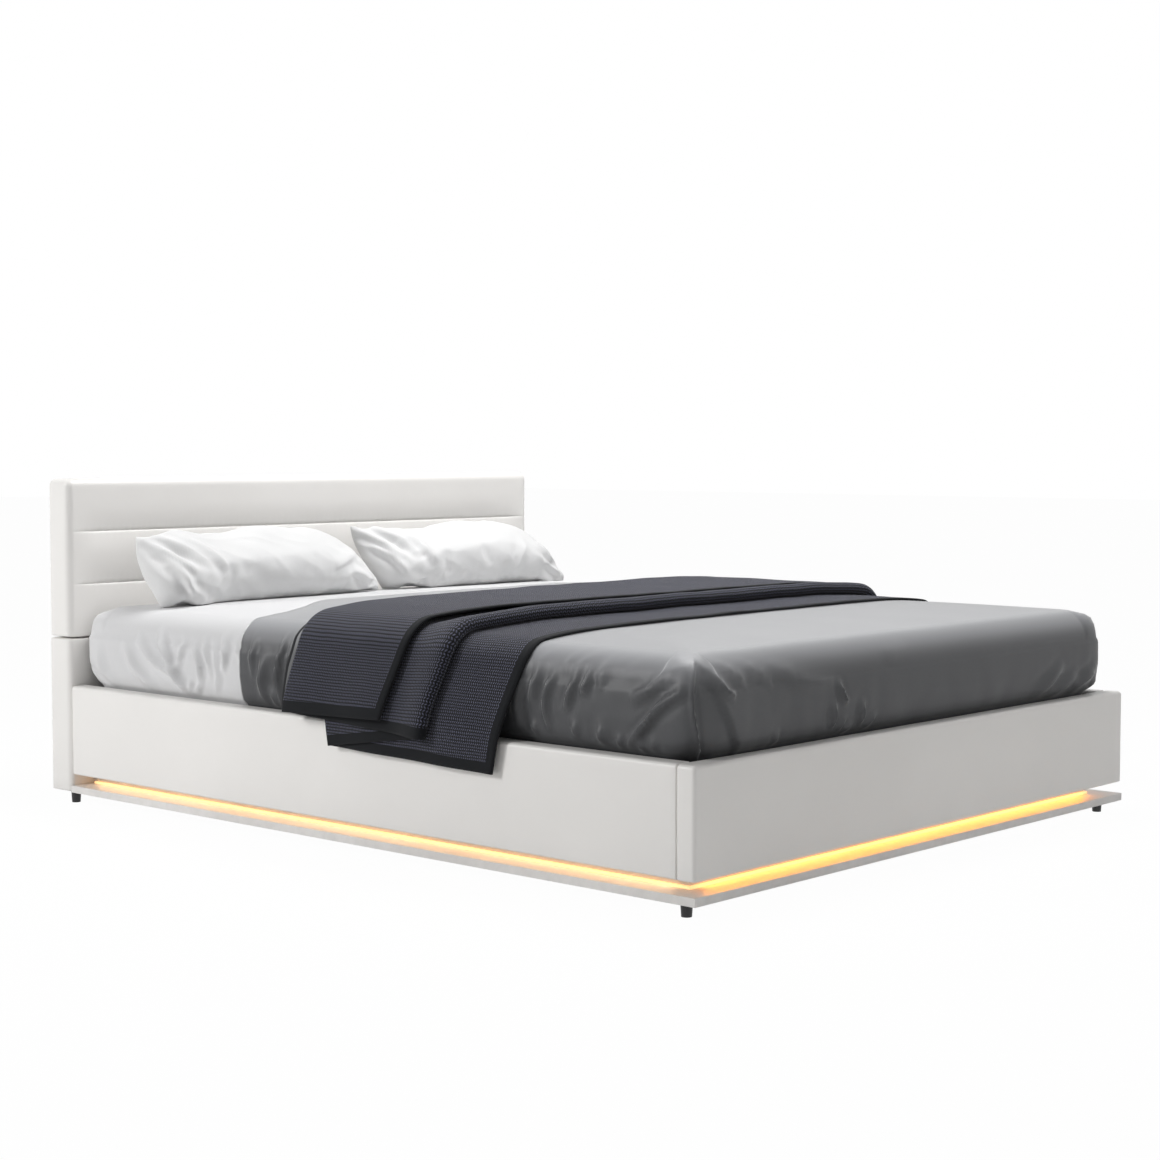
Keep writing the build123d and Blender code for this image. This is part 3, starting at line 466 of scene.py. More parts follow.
def plan_edge(x, y, grow):
    """Point and outward direction on the bed's rounded plan outline, inside its shoulder."""
    half = np.array([TOP_HALF, TOP_HEAD - TOP_MIDDLE]) + grow - SHOULDER
    radius = PLAN_RADIUS - SHOULDER
    at = np.stack([np.asarray(x, float), np.asarray(y, float) - TOP_MIDDLE], -1)
    inner = np.clip(at, radius - half, half - radius)
    away = at - inner
    away /= np.linalg.norm(away, axis=-1)[..., None]
    edge = inner + away * radius
    edge[..., 1] += TOP_MIDDLE
    return edge, away


def waist(z):
    """How far the side stands out at each height: drawn in where it goes down between the rails."""
    return np.interp(z, [250, 300, 309, 319, 340, 380, 430, 470], [-27, -22, -17, -6, 0, 5, 5, 1])


def squared(points, outward):
    """Draws the rounded bedding out into squarer corners, as the filling stands there."""
    away = np.abs(outward)
    flat = away[:, 0] ** 2 + away[:, 1] ** 2
    corner = 2 * away[:, 0] * away[:, 1] / np.maximum(flat, 1e-9) * np.minimum(1, flat * 2)
    corner *= np.where(points[:, 1] > 0, smoothstep((EDGE_LEVEL - points[:, 2]) / 45), 1.0)
    power = 2 + 4 * corner
    size = (away[:, 0] ** power + away[:, 1] ** power + away[:, 2] ** power) ** (-1 / power)
    keep = smoothstep((points[:, 2] - 300) / 60) * (1 - 0.7 * away[:, 2])
    return points + outward * (SHOULDER * (size - 1) * keep)[:, None]


def graded_lines(start, end, steps):
    """Places from start to end; steps gives places and the step size at each of them."""
    places = [start]
    while places[-1] < end:
        places.append(places[-1] + float(np.interp(places[-1], *steps)))
    places = np.array(places)
    return start + (places - start) * (end - start) / (places[-1] - start)


def corner_lines(low, high, low_round, high_round, inside):
    """Adds the rounded corners' own lines before and after the lines between them."""
    turn = np.tan(np.linspace(math.pi / 4, 0, 22))
    parts = [inside]
    if low_round:
        parts.insert(0, low + low_round * (1 - turn[:-1]))
    if high_round:
        parts.append(high - high_round * (1 - turn[-2::-1]))
    return np.concatenate(parts)


def bed_cloth(grow, bottom, head, steps_x, steps_y, drop_step):
    """Points, UV places, outward directions and faces of a cloth over the bed's top and sides.

    head gives the head edge's y for each x, or None where the cloth covers the whole bed.
    """
    radius = PLAN_RADIUS - SHOULDER
    half_x = TOP_HALF + grow - SHOULDER
    y_low, y_high = TOP_FOOT - grow + SHOULDER, TOP_HEAD + grow - SHOULDER
    xs = corner_lines(-half_x, half_x, radius, radius,
                      graded_lines(radius - half_x, half_x - radius, steps_x))
    if head is None:
        ys = corner_lines(y_low, y_high, radius, radius,
                          graded_lines(y_low + radius, y_high - radius, steps_y))
    else:
        top = head(-half_x)
        ys = corner_lines(y_low, top, radius, 0,
                          graded_lines(y_low + radius, top, steps_y))
    near, near_out = plan_edge(np.full(len(ys), -half_x), ys, grow)
    foot, foot_out = plan_edge(xs, np.full(len(xs), y_low), grow)
    if head is None:
        far_ys = ys
        end, end_out = plan_edge(xs, np.full(len(xs), y_high), grow)
    else:
        stretch = (ys - y_low - radius) / (ys[-1] - y_low - radius)
        far_ys = np.where(ys < y_low + radius, ys,
                          y_low + radius + stretch * (head(half_x) - y_low - radius))
        end = np.stack([xs, head(xs)], -1)
        end[0], end_out = near[-1], None
    far, far_out = plan_edge(np.full(len(ys), half_x), far_ys, grow)
    if head is not None:
        end[0, 1], end[-1] = near[-1, 1], far[-1]
    a = ((xs - xs[0]) / (xs[-1] - xs[0]))[:, None, None]
    b = ((ys - ys[0]) / (ys[-1] - ys[0]))[None, :, None]
    top = ((1 - a) * near[None] + a * far[None] + (1 - b) * foot[:, None] + b * end[:, None]
           - (1 - a) * (1 - b) * foot[0] - a * (1 - b) * foot[-1]
           - (1 - a) * b * end[0] - a * b * end[-1])
    count_x, count_y = len(xs), len(ys)
    plan = top.reshape(-1, 2)
    level = bed_level(plan[:, 0], plan[:, 1], grow)
    points = np.column_stack([plan, level])
    index = np.arange(count_x * count_y).reshape(count_x, count_y)
    rim = [index[0, ::-1], index[1:, 0], index[-1, 1:]]
    out = [near_out[::-1], foot_out[1:], far_out[1:]]
    if head is None:
        rim.append(index[-2:0:-1, -1])
        out.append(end_out[-2:0:-1])
    rim, out = np.concatenate(rim), np.vstack(out)
    base = points[rim]
    turns = np.radians([11, 22, 33, 44, 56, 67, 79, 90])
    rings, lengths = [], []
    for turn in turns:
        rings.append(base + np.column_stack([out * SHOULDER * math.sin(turn),
                                             np.full(len(base), SHOULDER * (math.cos(turn) - 1))]))
        lengths.append(np.full(len(base), SHOULDER * turn))
    depth = rings[-1][:, 2] - bottom
    levels = max(3, math.ceil(float(depth.mean()) / drop_step))
    for k in range(1, levels + 1):
        share = k / levels
        ring = rings[len(turns) - 1].copy()
        ring[:, 2] -= depth * share
        ring[:, :2] += out * waist(ring[:, 2])[:, None] * np.where(out > 0.7, [1.0, 0.3], 1.0)
        rings.append(ring)
        lengths.append(lengths[len(turns) - 1] + depth * share)
    skirt, drop = np.stack(rings), np.stack(lengths)
    skirt_index = np.arange(skirt.shape[0] * len(rim)).reshape(skirt.shape[0], len(rim))
    skirt_index = np.vstack([rim[None], skirt_index + len(points)])
    if head is None:
        skirt_index = np.hstack([skirt_index, skirt_index[:, :1]])
    sides = np.stack([skirt_index[:-1, 1:], skirt_index[1:, 1:], skirt_index[1:, :-1],
                      skirt_index[:-1, :-1]], -1).reshape(-1, 4)
    places = np.vstack([plan, (base[None, :, :2] + out[None] * drop[..., None]).reshape(-1, 2)])
    lean = np.sin(np.clip(drop / SHOULDER, 0, math.pi / 2))
    outward = np.vstack([
        np.column_stack([np.zeros_like(plan), np.ones(len(plan))]),
        np.dstack([out[None] * lean[..., None], np.sqrt(1 - lean ** 2)[..., None]]).reshape(-1, 3)])
    points = np.vstack([points, skirt.reshape(-1, 3)])
    return points, places, outward, np.vstack([grid_faces(count_x, count_y), sides]).tolist()


def crease(places, route, width, height, lean=0.0):
    """Height of a fold along a route: round in section, fading at both ends.

    lean above zero makes its second side steeper than its first.
    """
    route = np.array(route, float)
    best = np.full(len(places), 1e9)
    along = np.zeros(len(places))
    side = np.zeros(len(places))
    lengths = distances(route)
    for k in range(len(route) - 1):
        step = route[k + 1] - route[k]
        size = np.linalg.norm(step)
        t = np.clip((places - route[k]) @ step / size ** 2, 0, 1)
        off = places - route[k] - t[:, None] * step
        away = np.linalg.norm(off, axis=1)
        cross = step[0] * off[:, 1] - step[1] * off[:, 0]
        closer = away < best
        best = np.where(closer, away, best)
        along = np.where(closer, lengths[k] + t * size, along)
        side = np.where(closer, np.sign(cross), side)
    share = along / lengths[-1]
    taper = np.sin(np.pi * np.clip(0.06 + 0.94 * share, 0, 1)) ** 0.7
    spread = width * np.where(side > 0, 1 + lean, 1 - lean)
    hollow = 0.2 * np.exp(-((best - 2.2 * spread) / (0.9 * spread)) ** 2)
    return height * taper * (np.exp(-(best / spread) ** 1.45) - hollow)


def unrolled(points):
    """Distance round the near foot corner (minus along the side) and height, for side folds."""
    x, y, z = points.T
    corner_x, corner_y = PLAN_RADIUS - TOP_HALF, PLAN_RADIUS + TOP_FOOT
    arc = PLAN_RADIUS * math.pi / 4
    s = (math.pi / 4 - np.arctan2(corner_x - x, corner_y - y)) * PLAN_RADIUS
    s = np.where((y > corner_y) & (x < 0), corner_y - y - arc, s)
    s = np.where((x > corner_x) & (y < corner_y), arc + x - corner_x, s)
    # The far side has no folds, so it lies away from all of them
    s = np.where((x > 0) & (y > corner_y), 9999.0, s)
    return np.column_stack([s, z])


COVERLET_FOLDS = [
    # route (round the corner, height), width and height in mm, and lean: the near side
    ([(15, 497), (-25, 481), (-54, 464), (-83, 443), (-132, 419)], 9, 8, 0.2),
    ([(1, 466), (-17, 445), (-50, 414), (-76, 387), (-113, 355), (-147, 323)], 7, 8, 0.2),
    ([(-43, 488), (-56, 465)], 6, 4, 0),
    ([(-239, 469), (-252, 442), (-258, 418)], 9, 6, 0.1),
    ([(-282, 448), (-296, 415), (-307, 382)], 8, 6, 0.1),
    ([(-341, 456), (-355, 431), (-364, 404), (-362, 371), (-352, 336)], 8, 6, 0.1),
    ([(-192, 498), (-212, 477), (-225, 452)], 9, 5, 0),
    ([(-212, 358), (-213, 320)], 12, 5, 0),
    ([(-164, 339), (-164, 319)], 7, 4, 0),
    ([(-115, 335), (-98, 319)], 7, 4, 0),
    ([(-75, 341), (-75, 318)], 9, 3, 0),
    ([(-282, 507), (-309, 485), (-319, 463)], 8, 5, 0),
    ([(-235, 507), (-270, 484), (-298, 456)], 9, 5, 0),
    ([(-386, 465), (-398, 422), (-406, 385)], 10, 5, 0),
    ([(-404, 350), (-394, 327)], 8, 4, 0),
    ([(-286, 360), (-278, 331)], 9, 4, 0),
    ([(-154, 495), (-196, 472), (-223, 438)], 9, 4, 0),
    ([(-87, 505), (-120, 492), (-154, 466)], 12, 3, 0),
    ([(-357, 499), (-390, 479), (-406, 463)], 8, 4, 0),
    ([(-430, 470), (-452, 400), (-448, 330)], 12, 4, 0),
    # the foot side
    ([(2, 501), (33, 471), (64, 445), (102, 426)], 8, 7, 0.2),
    ([(14, 504), (83, 485), (147, 450)], 8, 6, 0.2),
    ([(51, 503), (160, 481), (239, 443)], 9, 5, 0.1),
    ([(160, 493), (266, 469), (320, 452)], 12, 3, 0),
    ([(465, 424), (479, 402), (500, 375)], 7, 6, 0),
    ([(451, 379), (455, 328)], 8, 5, 0),
    ([(494, 345), (477, 322)], 6, 4, 0),
    ([(524, 330), (495, 313)], 6, 4, 0),
    ([(556, 374), (561, 326)], 8, 5, 0),
    ([(609, 343), (580, 318)], 6, 4, 0),
    ([(253, 336), (257, 313)], 8, 3, 0),
    ([(653, 480), (703, 463)], 10, 4, 0),
    ([(683, 491), (742, 476)], 10, 4, 0),
    ([(266, 461), (362, 437), (461, 424)], 16, 3, 0),
    ([(1407, 382), (1359, 355), (1288, 324)], 12, 6, 0),
    ([(1578, 363), (1533, 347), (1483, 329)], 12, 6, 0),
    ([(1483, 358), (1421, 335), (1379, 316)], 12, 5, 0),
    ([(1611, 335), (1579, 321)], 12, 4, 0),
    # the head end of the near side
    ([(-1205, 481), (-1223, 396), (-1221, 312)], 7, 8, 0.1),
    ([(-1275, 427), (-1283, 367), (-1276, 323)], 13, 7, 0),
    ([(-1316, 475), (-1321, 424), (-1310, 365)], 9, 4, 0),
    ([(-1168, 479), (-1183, 433), (-1199, 398)], 9, 5, 0),
    ([(-1253, 354), (-1238, 316)], 9, 4, 0),
]
SHEET_FOLDS = [
    ([(-1774, 437), (-1723, 398), (-1638, 367), (-1580, 314)], 9, 7, 0.2),
    ([(-1696, 457), (-1654, 407), (-1605, 348), (-1564, 320)], 9, 9, 0.2),
    ([(-1545, 435), (-1521, 390), (-1530, 349)], 9, 6, 0),
    ([(-1512, 447), (-1480, 388), (-1481, 357)], 8, 5, 0),
    ([(-1439, 462), (-1423, 423), (-1436, 381)], 8, 5, 0),
    ([(-1391, 460), (-1364, 421), (-1345, 378)], 9, 5, 0),
    ([(-1827, 417), (-1784, 367), (-1707, 312)], 13, 6, 0),
    ([(-1586, 448), (-1604, 406), (-1621, 368)], 9, 4, 0),
    ([(-1472, 430), (-1456, 369), (-1473, 327)], 9, 3, 0),
    ([(-1571, 351), (-1555, 316)], 6, 4, 0),
    ([(-1944, 399), (-1927, 335), (-1874, 309)], 15, 4, 0),
    ([(-1522, 349), (-1555, 321)], 7, 4, 0),
]


def fold_cloth(points, outward, folds, seed, slack, depth, share=1.0):
    """Moves a bed cloth outwards along its folds, with a soft overall unevenness.

    slack is how uneven it is, depth multiplies the folds' heights, and share is how much of all
    this each point gets.
    """
    places = unrolled(points)
    side = np.clip(1 - outward[:, 2], 0, 1) ** 0.8
    lift = np.zeros(len(points))
    for route, width, height, lean in folds:
        lift += crease(places, route, width, depth * height, lean)
    lift *= 0.3 + 0.7 * smoothstep((503 - points[:, 2]) / 48)
    ripple = 2.0 * unevenness(np.column_stack([places[:, 0], places[:, 1] * 0.35,
                                               np.zeros(len(points))]), 46.0, seed)
    swell = unevenness(points, 170.0, seed + 5)
    hang = smoothstep((EDGE_LEVEL - 40 - points[:, 2]) / 160.0)
    free = 0.15 + 0.85 * smoothstep((points[:, 2] - RAIL_TOP + 4) / 34.0)
    move = (side * (lift + slack * ripple * hang) * free
            + 0.8 * slack * np.maximum(swell, -0.4) * free) * share
    # Deeper hollows would let the layer beneath show
    return points + outward * np.maximum(move, -2.8)[:, None]


def corner_pleat(points, outward):
    """The near foot corner's pleat: the side's fold stands over a flat flap on the foot side."""
    s, z = unrolled(points).T
    fold = np.interp(z, [250, 310, 350, 400, 440, 475, 497, 510], [24, 20, 12, 5, 3, 7, 12, 14])
    wide = np.interp(z, [250, 310, 330, 382, 430, 470, 490], [108, 100, 92, 64, 36, 15, 3])
    fall = smoothstep((508 - z) / 40)
    stand = 11.0 * np.exp(-((s - fold) / 60.0) ** 2) * (s < fold)
    lip = 8.0 * np.exp(-((s - fold + 2) / 3.6) ** 2) * (s < fold + 1)
    slit = 2.6 * np.exp(-((s - fold - 5) / 5.0) ** 2) * (s > fold)
    past = smoothstep((s - fold - wide) / 16.0) * np.exp(-((s - fold - wide) / 120.0) ** 2)
    side = np.clip(1 - outward[:, 2], 0, 1) ** 0.4
    free = 0.2 + 0.8 * smoothstep((z - RAIL_TOP + 4) / 34.0)
    move = side * fall * free * (stand + lip - slit + 11.0 * past * (s > fold))
    return points + outward * move[:, None]


def clear_rails(points, gap):
    """Draws the sides in at the head end, which dips between the rails as the platform lifts."""
    dip = RAIL_TOP + DIP_START + DIP_SLOPE * (points[:, 1] - BED_HEAD)
    most = RAIL_LOW[0] - gap + 60 * smoothstep((points[:, 2] - dip - 3) / 60)
    points[:, 0] = np.clip(points[:, 0], -most, most)
    return points


def thin_cloth(piece, thickness):
    """Gives a cloth its real thickness."""
    apply_modifier(piece, "SOLIDIFY", thickness=thickness * MM, offset=0.0)


def coverlet_head(x):
    """The coverlet's head edge: aslant over the near shoulder, then straight."""
    return np.interp(x, [-900, -760, -668, -560, -470, -390, -300, 900],
                     [339, 343, 357, 415, 485, 535, 549, 552])


# Throw

def throw_line(grow):
    """The throw's line across the bed from the near hem to the far one, as smooth points."""
    x = np.linspace(0, TOP_HALF - SHOULDER + grow, 120)
    top = np.column_stack([x, bed_level(x, np.full(len(x), TOP_MIDDLE), grow)])
    turn = np.radians([12, 24, 36, 48, 60])[:, None]
    arc = top[-1] + (SHOULDER + 3) * np.hstack([np.sin(turn), np.cos(turn) - 1])
    fall = np.vstack([arc, [[829 + grow, 430], [845 + grow, 385], [858 + grow, 344],
                            [863 + grow, 322], [865 + grow, 300], [866 + grow, 262],
                            [867 + grow, 150]]])
    half = np.vstack([top, fall])
    line = np.vstack([half[:0:-1] * [-1, 1], half])
    lengths = distances(line)
    even = np.arange(0, lengths[-1], 2.0)
    line = at_distance(line, lengths, even)
    kernel = np.hanning(21)
    kernel /= kernel.sum()
    soft = np.column_stack([np.convolve(line[:, k], kernel, "same") for k in (0, 1)])
    soft[:11], soft[-11:] = line[:11], line[-11:]
    return soft, even - even[-1] / 2


# Each pass of the folded throw: y of its start and of its end at the near hem, the near
# shoulder, the middle and the far side, and its height over the coverlet, in mm
THROW_PASSES = [
    ((-200, -262, -286, -292), (88, 90, 118, 132), 34.0),
    ((88, 90, 118, 132), (-322, -376, -356, -344), 17.0),
    ((-322, -376, -356, -344), (-62, 8, 60, 60), 10.0),
    ((-62, 8, 60, 60), (-530, -600, -566, -550), 3.8),
]
THROW_HEMS = [322, 316, 296, 252, 238]
THROW_ROWS = [34, 42, 24, 48]
THROW_KEYS = [-1180.0, -820.0, 0.0, 820.0]
THROW_COLUMNS = 266
# How far the second pass swells into its round fold, and the far hem lies above the near one
THROW_PUFF = 20.0
THROW_FAR_HEM = 18.0
# How far the lining looks out from under the fold, at places from the near hem upwards
THROW_LINING = ([-1080, -1010, -900, -830, -760, -660], [14, 32, 52, 50, 30, 4])
# The lining's rows, as shares of that; its hem over the throw's, and where it ends on the top;
# how far it goes under the fold, its height over the line, and the cloth behind it
LINING_ROWS = (-0.6, -0.2, 0.2, 0.5, 0.72, 0.86, 1.0)
LINING_COLUMNS = 100
LINING_HEM, LINING_END = 8.0, -640.0
LINING_UNDER, LINING_LIFT, LINING_CLOTH = 12.0, 11.0, 60.0


def throw_rows():
    """Rows of the folded throw: the y of both ends of its pass, share, height and hem."""
    rows = []
    for index, (start, stop, lift) in enumerate(THROW_PASSES):
        for step in range(THROW_ROWS[index] + 1):
            share = step / THROW_ROWS[index]
            hem = THROW_HEMS[index] + (THROW_HEMS[index + 1] - THROW_HEMS[index]) * share
            puff = THROW_PUFF * smoothstep((share - 0.72) / 0.28) ** 1.3 if index == 1 else 0.0
            rows.append((start, stop, share, lift + puff, hem, 0.0))
        if index < 3:
            below = THROW_PASSES[index + 1][2]
            top = rows[-1][3]
            way = 1.0 if index % 2 == 0 else -1.0
            for angle in np.radians(range(18, 180, 18)):
                height = (top + below) / 2 + (top - below) / 2 * math.cos(angle)
                out = way * 0.55 * (top - below) * math.sin(angle)
                rows.append((start, stop, 1.0, height, THROW_HEMS[index + 1], out))
    return rows


def build_throw():
    """Knitted throw, folded in four passes with its trimmed edges towards the foot."""
    settings = bpy.context.scene.bed_bedding
    line, lengths = throw_line(6.0)
    trim = settings.trim_width / MM
    slope = np.gradient(line, axis=0)
    slope /= np.linalg.norm(slope, axis=1)[:, None]
    normal = np.column_stack([-slope[:, 1], slope[:, 0]])
    columns = np.linspace(0, 1, THROW_COLUMNS)

    def raised_row(reach, y, lift):
        """One row of the throw: distances along the line, y, and height over the line."""
        at = at_distance(line, lengths, reach) + at_distance(normal, lengths, reach) * lift
        return np.column_stack([at[:, 0], y, at[:, 1]])

    grid, places, run, previous = [], [], 0.0, None
    for start, stop, share, lift, hem, out_y in throw_rows():
        near = lengths[0] + (hem - line[0, 1])
        far = lengths[-1] - (hem + THROW_FAR_HEM - line[-1, 1])
        reach = near + (far - near) * columns
        y = (np.interp(reach, THROW_KEYS, start) * (1 - share)
             + np.interp(reach, THROW_KEYS, stop) * share + out_y)
        row = raised_row(reach, y, lift)
        if previous is not None:
            run += float(np.median(np.linalg.norm(row - previous, axis=1)))
        previous = row
        grid.append(row)
        places.append(np.column_stack([reach, np.full(len(row), run)]))
    rows, count = len(grid), len(columns)
    # The lining's edge, which looks out from under the fold at the near side
    reach = np.linspace(lengths[0] + THROW_HEMS[1] + LINING_HEM - line[0, 1], LINING_END,
                        LINING_COLUMNS)
    wide = np.interp(reach, *THROW_LINING)
    start = np.interp(reach, THROW_KEYS, THROW_PASSES[0][1])
    for share in LINING_ROWS:
        y = start - LINING_UNDER + (wide + LINING_UNDER) * share
        grid.append(raised_row(reach, y, LINING_LIFT))
        places.append(np.column_stack([reach, np.full(len(reach), run + 30 + share * 50)]))
    points, places = np.vstack(grid), np.vstack(places)
    wave = unevenness(points * [1, 1, 0.2], 120.0, 11.0)
    out = at_distance(normal, lengths, places[:, 0])
    hanging = smoothstep((470 - points[:, 2]) / 120)
    lift = 2.0 * np.maximum(wave, -0.5) + 2.4 * hanging * (1 + np.sin(points[:, 1] / 38.0))
    points[:, 0] += out[:, 0] * lift
    points[:, 2] += out[:, 1] * lift
    faces = np.vstack([grid_faces(rows, count),
                       grid_faces(len(LINING_ROWS), LINING_COLUMNS, rows * count)])
    piece = make_piece("knitted_throw", points, faces.tolist(), "platform",
                       [bpy.data.materials["chevron_knit_wool"],
                        bpy.data.materials["flat_braid_trim"],
                        bpy.data.materials["satin_coverlet"]], places)
    centre = places[faces].mean(1)
    knit = places[:rows * count].reshape(rows, count, 2)
    first, last, runs = knit[:, 0, 0], knit[:, -1, 0], knit[:, 0, 1]
    low = np.interp(centre[:, 1], runs, first)
    high = np.interp(centre[:, 1], runs, last)
    edge = np.minimum.reduce([centre[:, 0] - low, high - centre[:, 0], centre[:, 1],
                              run - centre[:, 1]])
    # The trim is material 1 and the lining is material 2, with trim along its own edge
    kind = (edge < trim).astype(np.int32)
    kind[(rows - 1) * (count - 1):] = 2
    kind[1 - LINING_COLUMNS:] = 1
    piece.data.polygons.foreach_set("material_index", kind)
    thin_cloth(piece, thickness=4.6)
    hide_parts("throw_blanket")
    return piece


# Pillows

# The furthest back that the pillows reach, so that they clear the headboard as the platform tilts
PILLOW_BACK = 924.0
PILLOWS = {
    # top edge and bottom edge from the near end to the far one, in mm
    "pillow_left": (
        [(-747, 856, 690), (-712, 866, 690), (-650, 878, 697), (-585, 884, 686),
         (-500, 886, 684), (-420, 886, 694), (-330, 886, 699), (-200, 886, 693),
         (-118, 882, 674), (-58, 872, 634), (0, 856, 590), (40, 830, 556)],
        [(-716, 784, 524), (-690, 752, 523), (-632, 722, 522), (-560, 738, 523), (-500, 744, 524),
         (-316, 760, 525), (-160, 776, 526), (-40, 790, 527), (28, 800, 528)]),
    "pillow_right": (
        [(30, 898, 692), (62, 894, 688), (110, 890, 688), (170, 886, 677), (230, 884, 675),
         (300, 882, 684), (400, 880, 693), (520, 878, 691), (600, 876, 676), (652, 872, 640),
         (700, 862, 594), (742, 838, 556), (782, 806, 528)],
        [(134, 866, 524), (160, 800, 524), (220, 772, 525), (340, 762, 526), (470, 752, 526),
         (590, 746, 525), (690, 752, 522), (775, 776, 518)]),
}
PILLOW_FOLDS = {
    # route (x, height), width and height of the creases that run in from the ears
    "pillow_left": [
        ([(-742, 684), (-706, 650), (-668, 606)], 9, 6.0),
        ([(-738, 660), (-704, 622), (-684, 580)], 8, 6.0),
        ([(-730, 632), (-700, 596), (-676, 552)], 8, 5.0),
        ([(-716, 690), (-664, 668), (-612, 622)], 11, 6.0),
        ([(-660, 694), (-612, 660), (-566, 612)], 13, 5.0),
        ([(-700, 560), (-664, 540), (-600, 532)], 9, 5.0),
        ([(-720, 600), (-680, 566), (-640, 548)], 8, 4.0),
        ([(20, 560), (-40, 566), (-110, 590)], 10, 5.0),
        ([(24, 545), (-50, 544), (-130, 556)], 9, 4.0),
        ([(-60, 630), (-120, 620), (-190, 600)], 12, 4.0)],
    "pillow_right": [
        ([(40, 684), (84, 652), (110, 610)], 9, 6.0),
        ([(52, 650), (88, 616), (118, 574)], 8, 6.0),
        ([(70, 690), (124, 668), (170, 620)], 11, 6.0),
        ([(130, 690), (176, 650), (206, 596)], 12, 5.0),
        ([(120, 560), (170, 544), (240, 536)], 9, 4.0),
        ([(560, 640), (520, 600), (500, 556)], 13, 4.0),
        ([(770, 540), (700, 560), (640, 590)], 10, 6.0),
        ([(760, 530), (690, 536), (620, 552)], 9, 5.0),
        ([(730, 575), (672, 596), (620, 640)], 10, 5.0)],
}


def edge_line(route, count):
    """Even points along a pillow edge, softened at its turns."""
    route = np.array(route, float)
    lengths = distances(route)
    line = at_distance(route, lengths, np.linspace(0, lengths[-1], count))
    padded = np.vstack([2 * line[0] - line[4:0:-1], line, 2 * line[-1] - line[-2:-6:-1]])
    kernel = np.hanning(11)[1:-1]
    kernel /= kernel.sum()
    return np.column_stack([np.convolve(padded[:, k], kernel, "valid") for k in range(3)])


def pillow_form(name, fullness):
    """A stuffed case between its top and bottom edges: full in front, flatter behind."""
    top, bottom = (edge_line(route, 84) for route in PILLOWS[name])
    rows = 46
    v = 0.5 - 0.5 * np.cos(np.linspace(0.06, math.pi - 0.06, rows))
    v = ((v - v[0]) / (v[-1] - v[0]))[None, :, None]
    sheet = bottom[:, None] * (1 - v) + top[:, None] * v
    bow = np.sin(math.pi * v[..., 0]) * np.linspace(1, 0, len(top))[:, None] ** 6
    sheet[..., 0] -= 24.0 * bow
    along = np.gradient(sheet, axis=0)
    up = np.broadcast_to((top - bottom)[:, None], sheet.shape)
    normal = np.cross(along, up)
    normal /= np.linalg.norm(normal, axis=-1)[..., None]
    u = np.linspace(0, 1, len(top))[:, None]
    v = v[..., 0]
    height = np.linalg.norm(top - bottom, axis=1)[:, None] / 190.0
    ends = np.minimum(1, (4 * u * (1 - u)) ** 0.42 * 1.02)
    body = np.clip(4 * v * (1 - v), 0, 1) ** 0.5 * ends * np.minimum(1, height) ** 0.5
    low = 1 + 0.35 * (1 - v) * v * 4 * (0.5 - v)
    hang = np.zeros_like(sheet)
    hang[..., 1] = -26.0 * body * smoothstep((0.6 - v) / 0.5)
    front = sheet + (fullness * 0.5 * body * low)[..., None] * normal + hang
    back = sheet - (fullness * 0.26 * body)[..., None] * normal
    return front, back


def build_pillow(name, seed):
    """A pillow leaning on the headboard, swollen by its filling and creased towards its ears."""
    settings = bpy.context.scene.bed_bedding
    front, back = pillow_form(name, settings.pillow_fullness / MM)
    rows, columns = front.shape[:2]
    faces = np.vstack([grid_faces(rows, columns),
                       grid_faces(rows, columns, rows * columns)[:, ::-1]])
    points = np.vstack([front.reshape(-1, 3), back.reshape(-1, 3)])
    piece = make_piece(name + "_filled", points, faces.tolist(), "platform",
                       [bpy.data.materials["plain_cotton_pillowcase"]])
    face_outwards(piece, lambda shell: bmesh.ops.remove_doubles(
        shell, verts=shell.verts, dist=0.05 * MM))
    fill_pillow(piece)
    apply_modifier(piece, "SUBSURF", levels=1, render_levels=1)
    crease_pillow(piece, PILLOW_FOLDS[name], seed)
    settle(piece)
    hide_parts(name)
    return piece


def crease_pillow(piece, folds, seed):
    """Creases the case towards its ears, with small slack wrinkles over the rest."""
    places = point_places(piece.data)
    normals = np.zeros(len(places) * 3, np.float32)
    piece.data.vertices.foreach_get("normal", normals)
    normals = normals.reshape(-1, 3).astype(float)
    move = np.zeros(len(places))
    for route, width, height in folds:
        move += 2.3 * crease(places[:, [0, 2]], route, width, height)
        move -= 1.3 * crease(places[:, [0, 2]] + [width * 1.2, width * 1.2], route, width, height)
    move *= normals[:, 1] < 0.2
    turned = places @ np.array([[0.8, 0.1, 0.5], [0.0, 1.0, 0.0], [-0.6, 0.0, 0.8]])
    move += 4.5 * (0.4 - np.abs(unevenness(turned * [0.3, 1.0, 1.0], 44.0, seed + 1.0)))
    move += 5.0 * unevenness(places, 95.0, seed + 4.0)
    move_points(piece, places + normals * move[:, None])


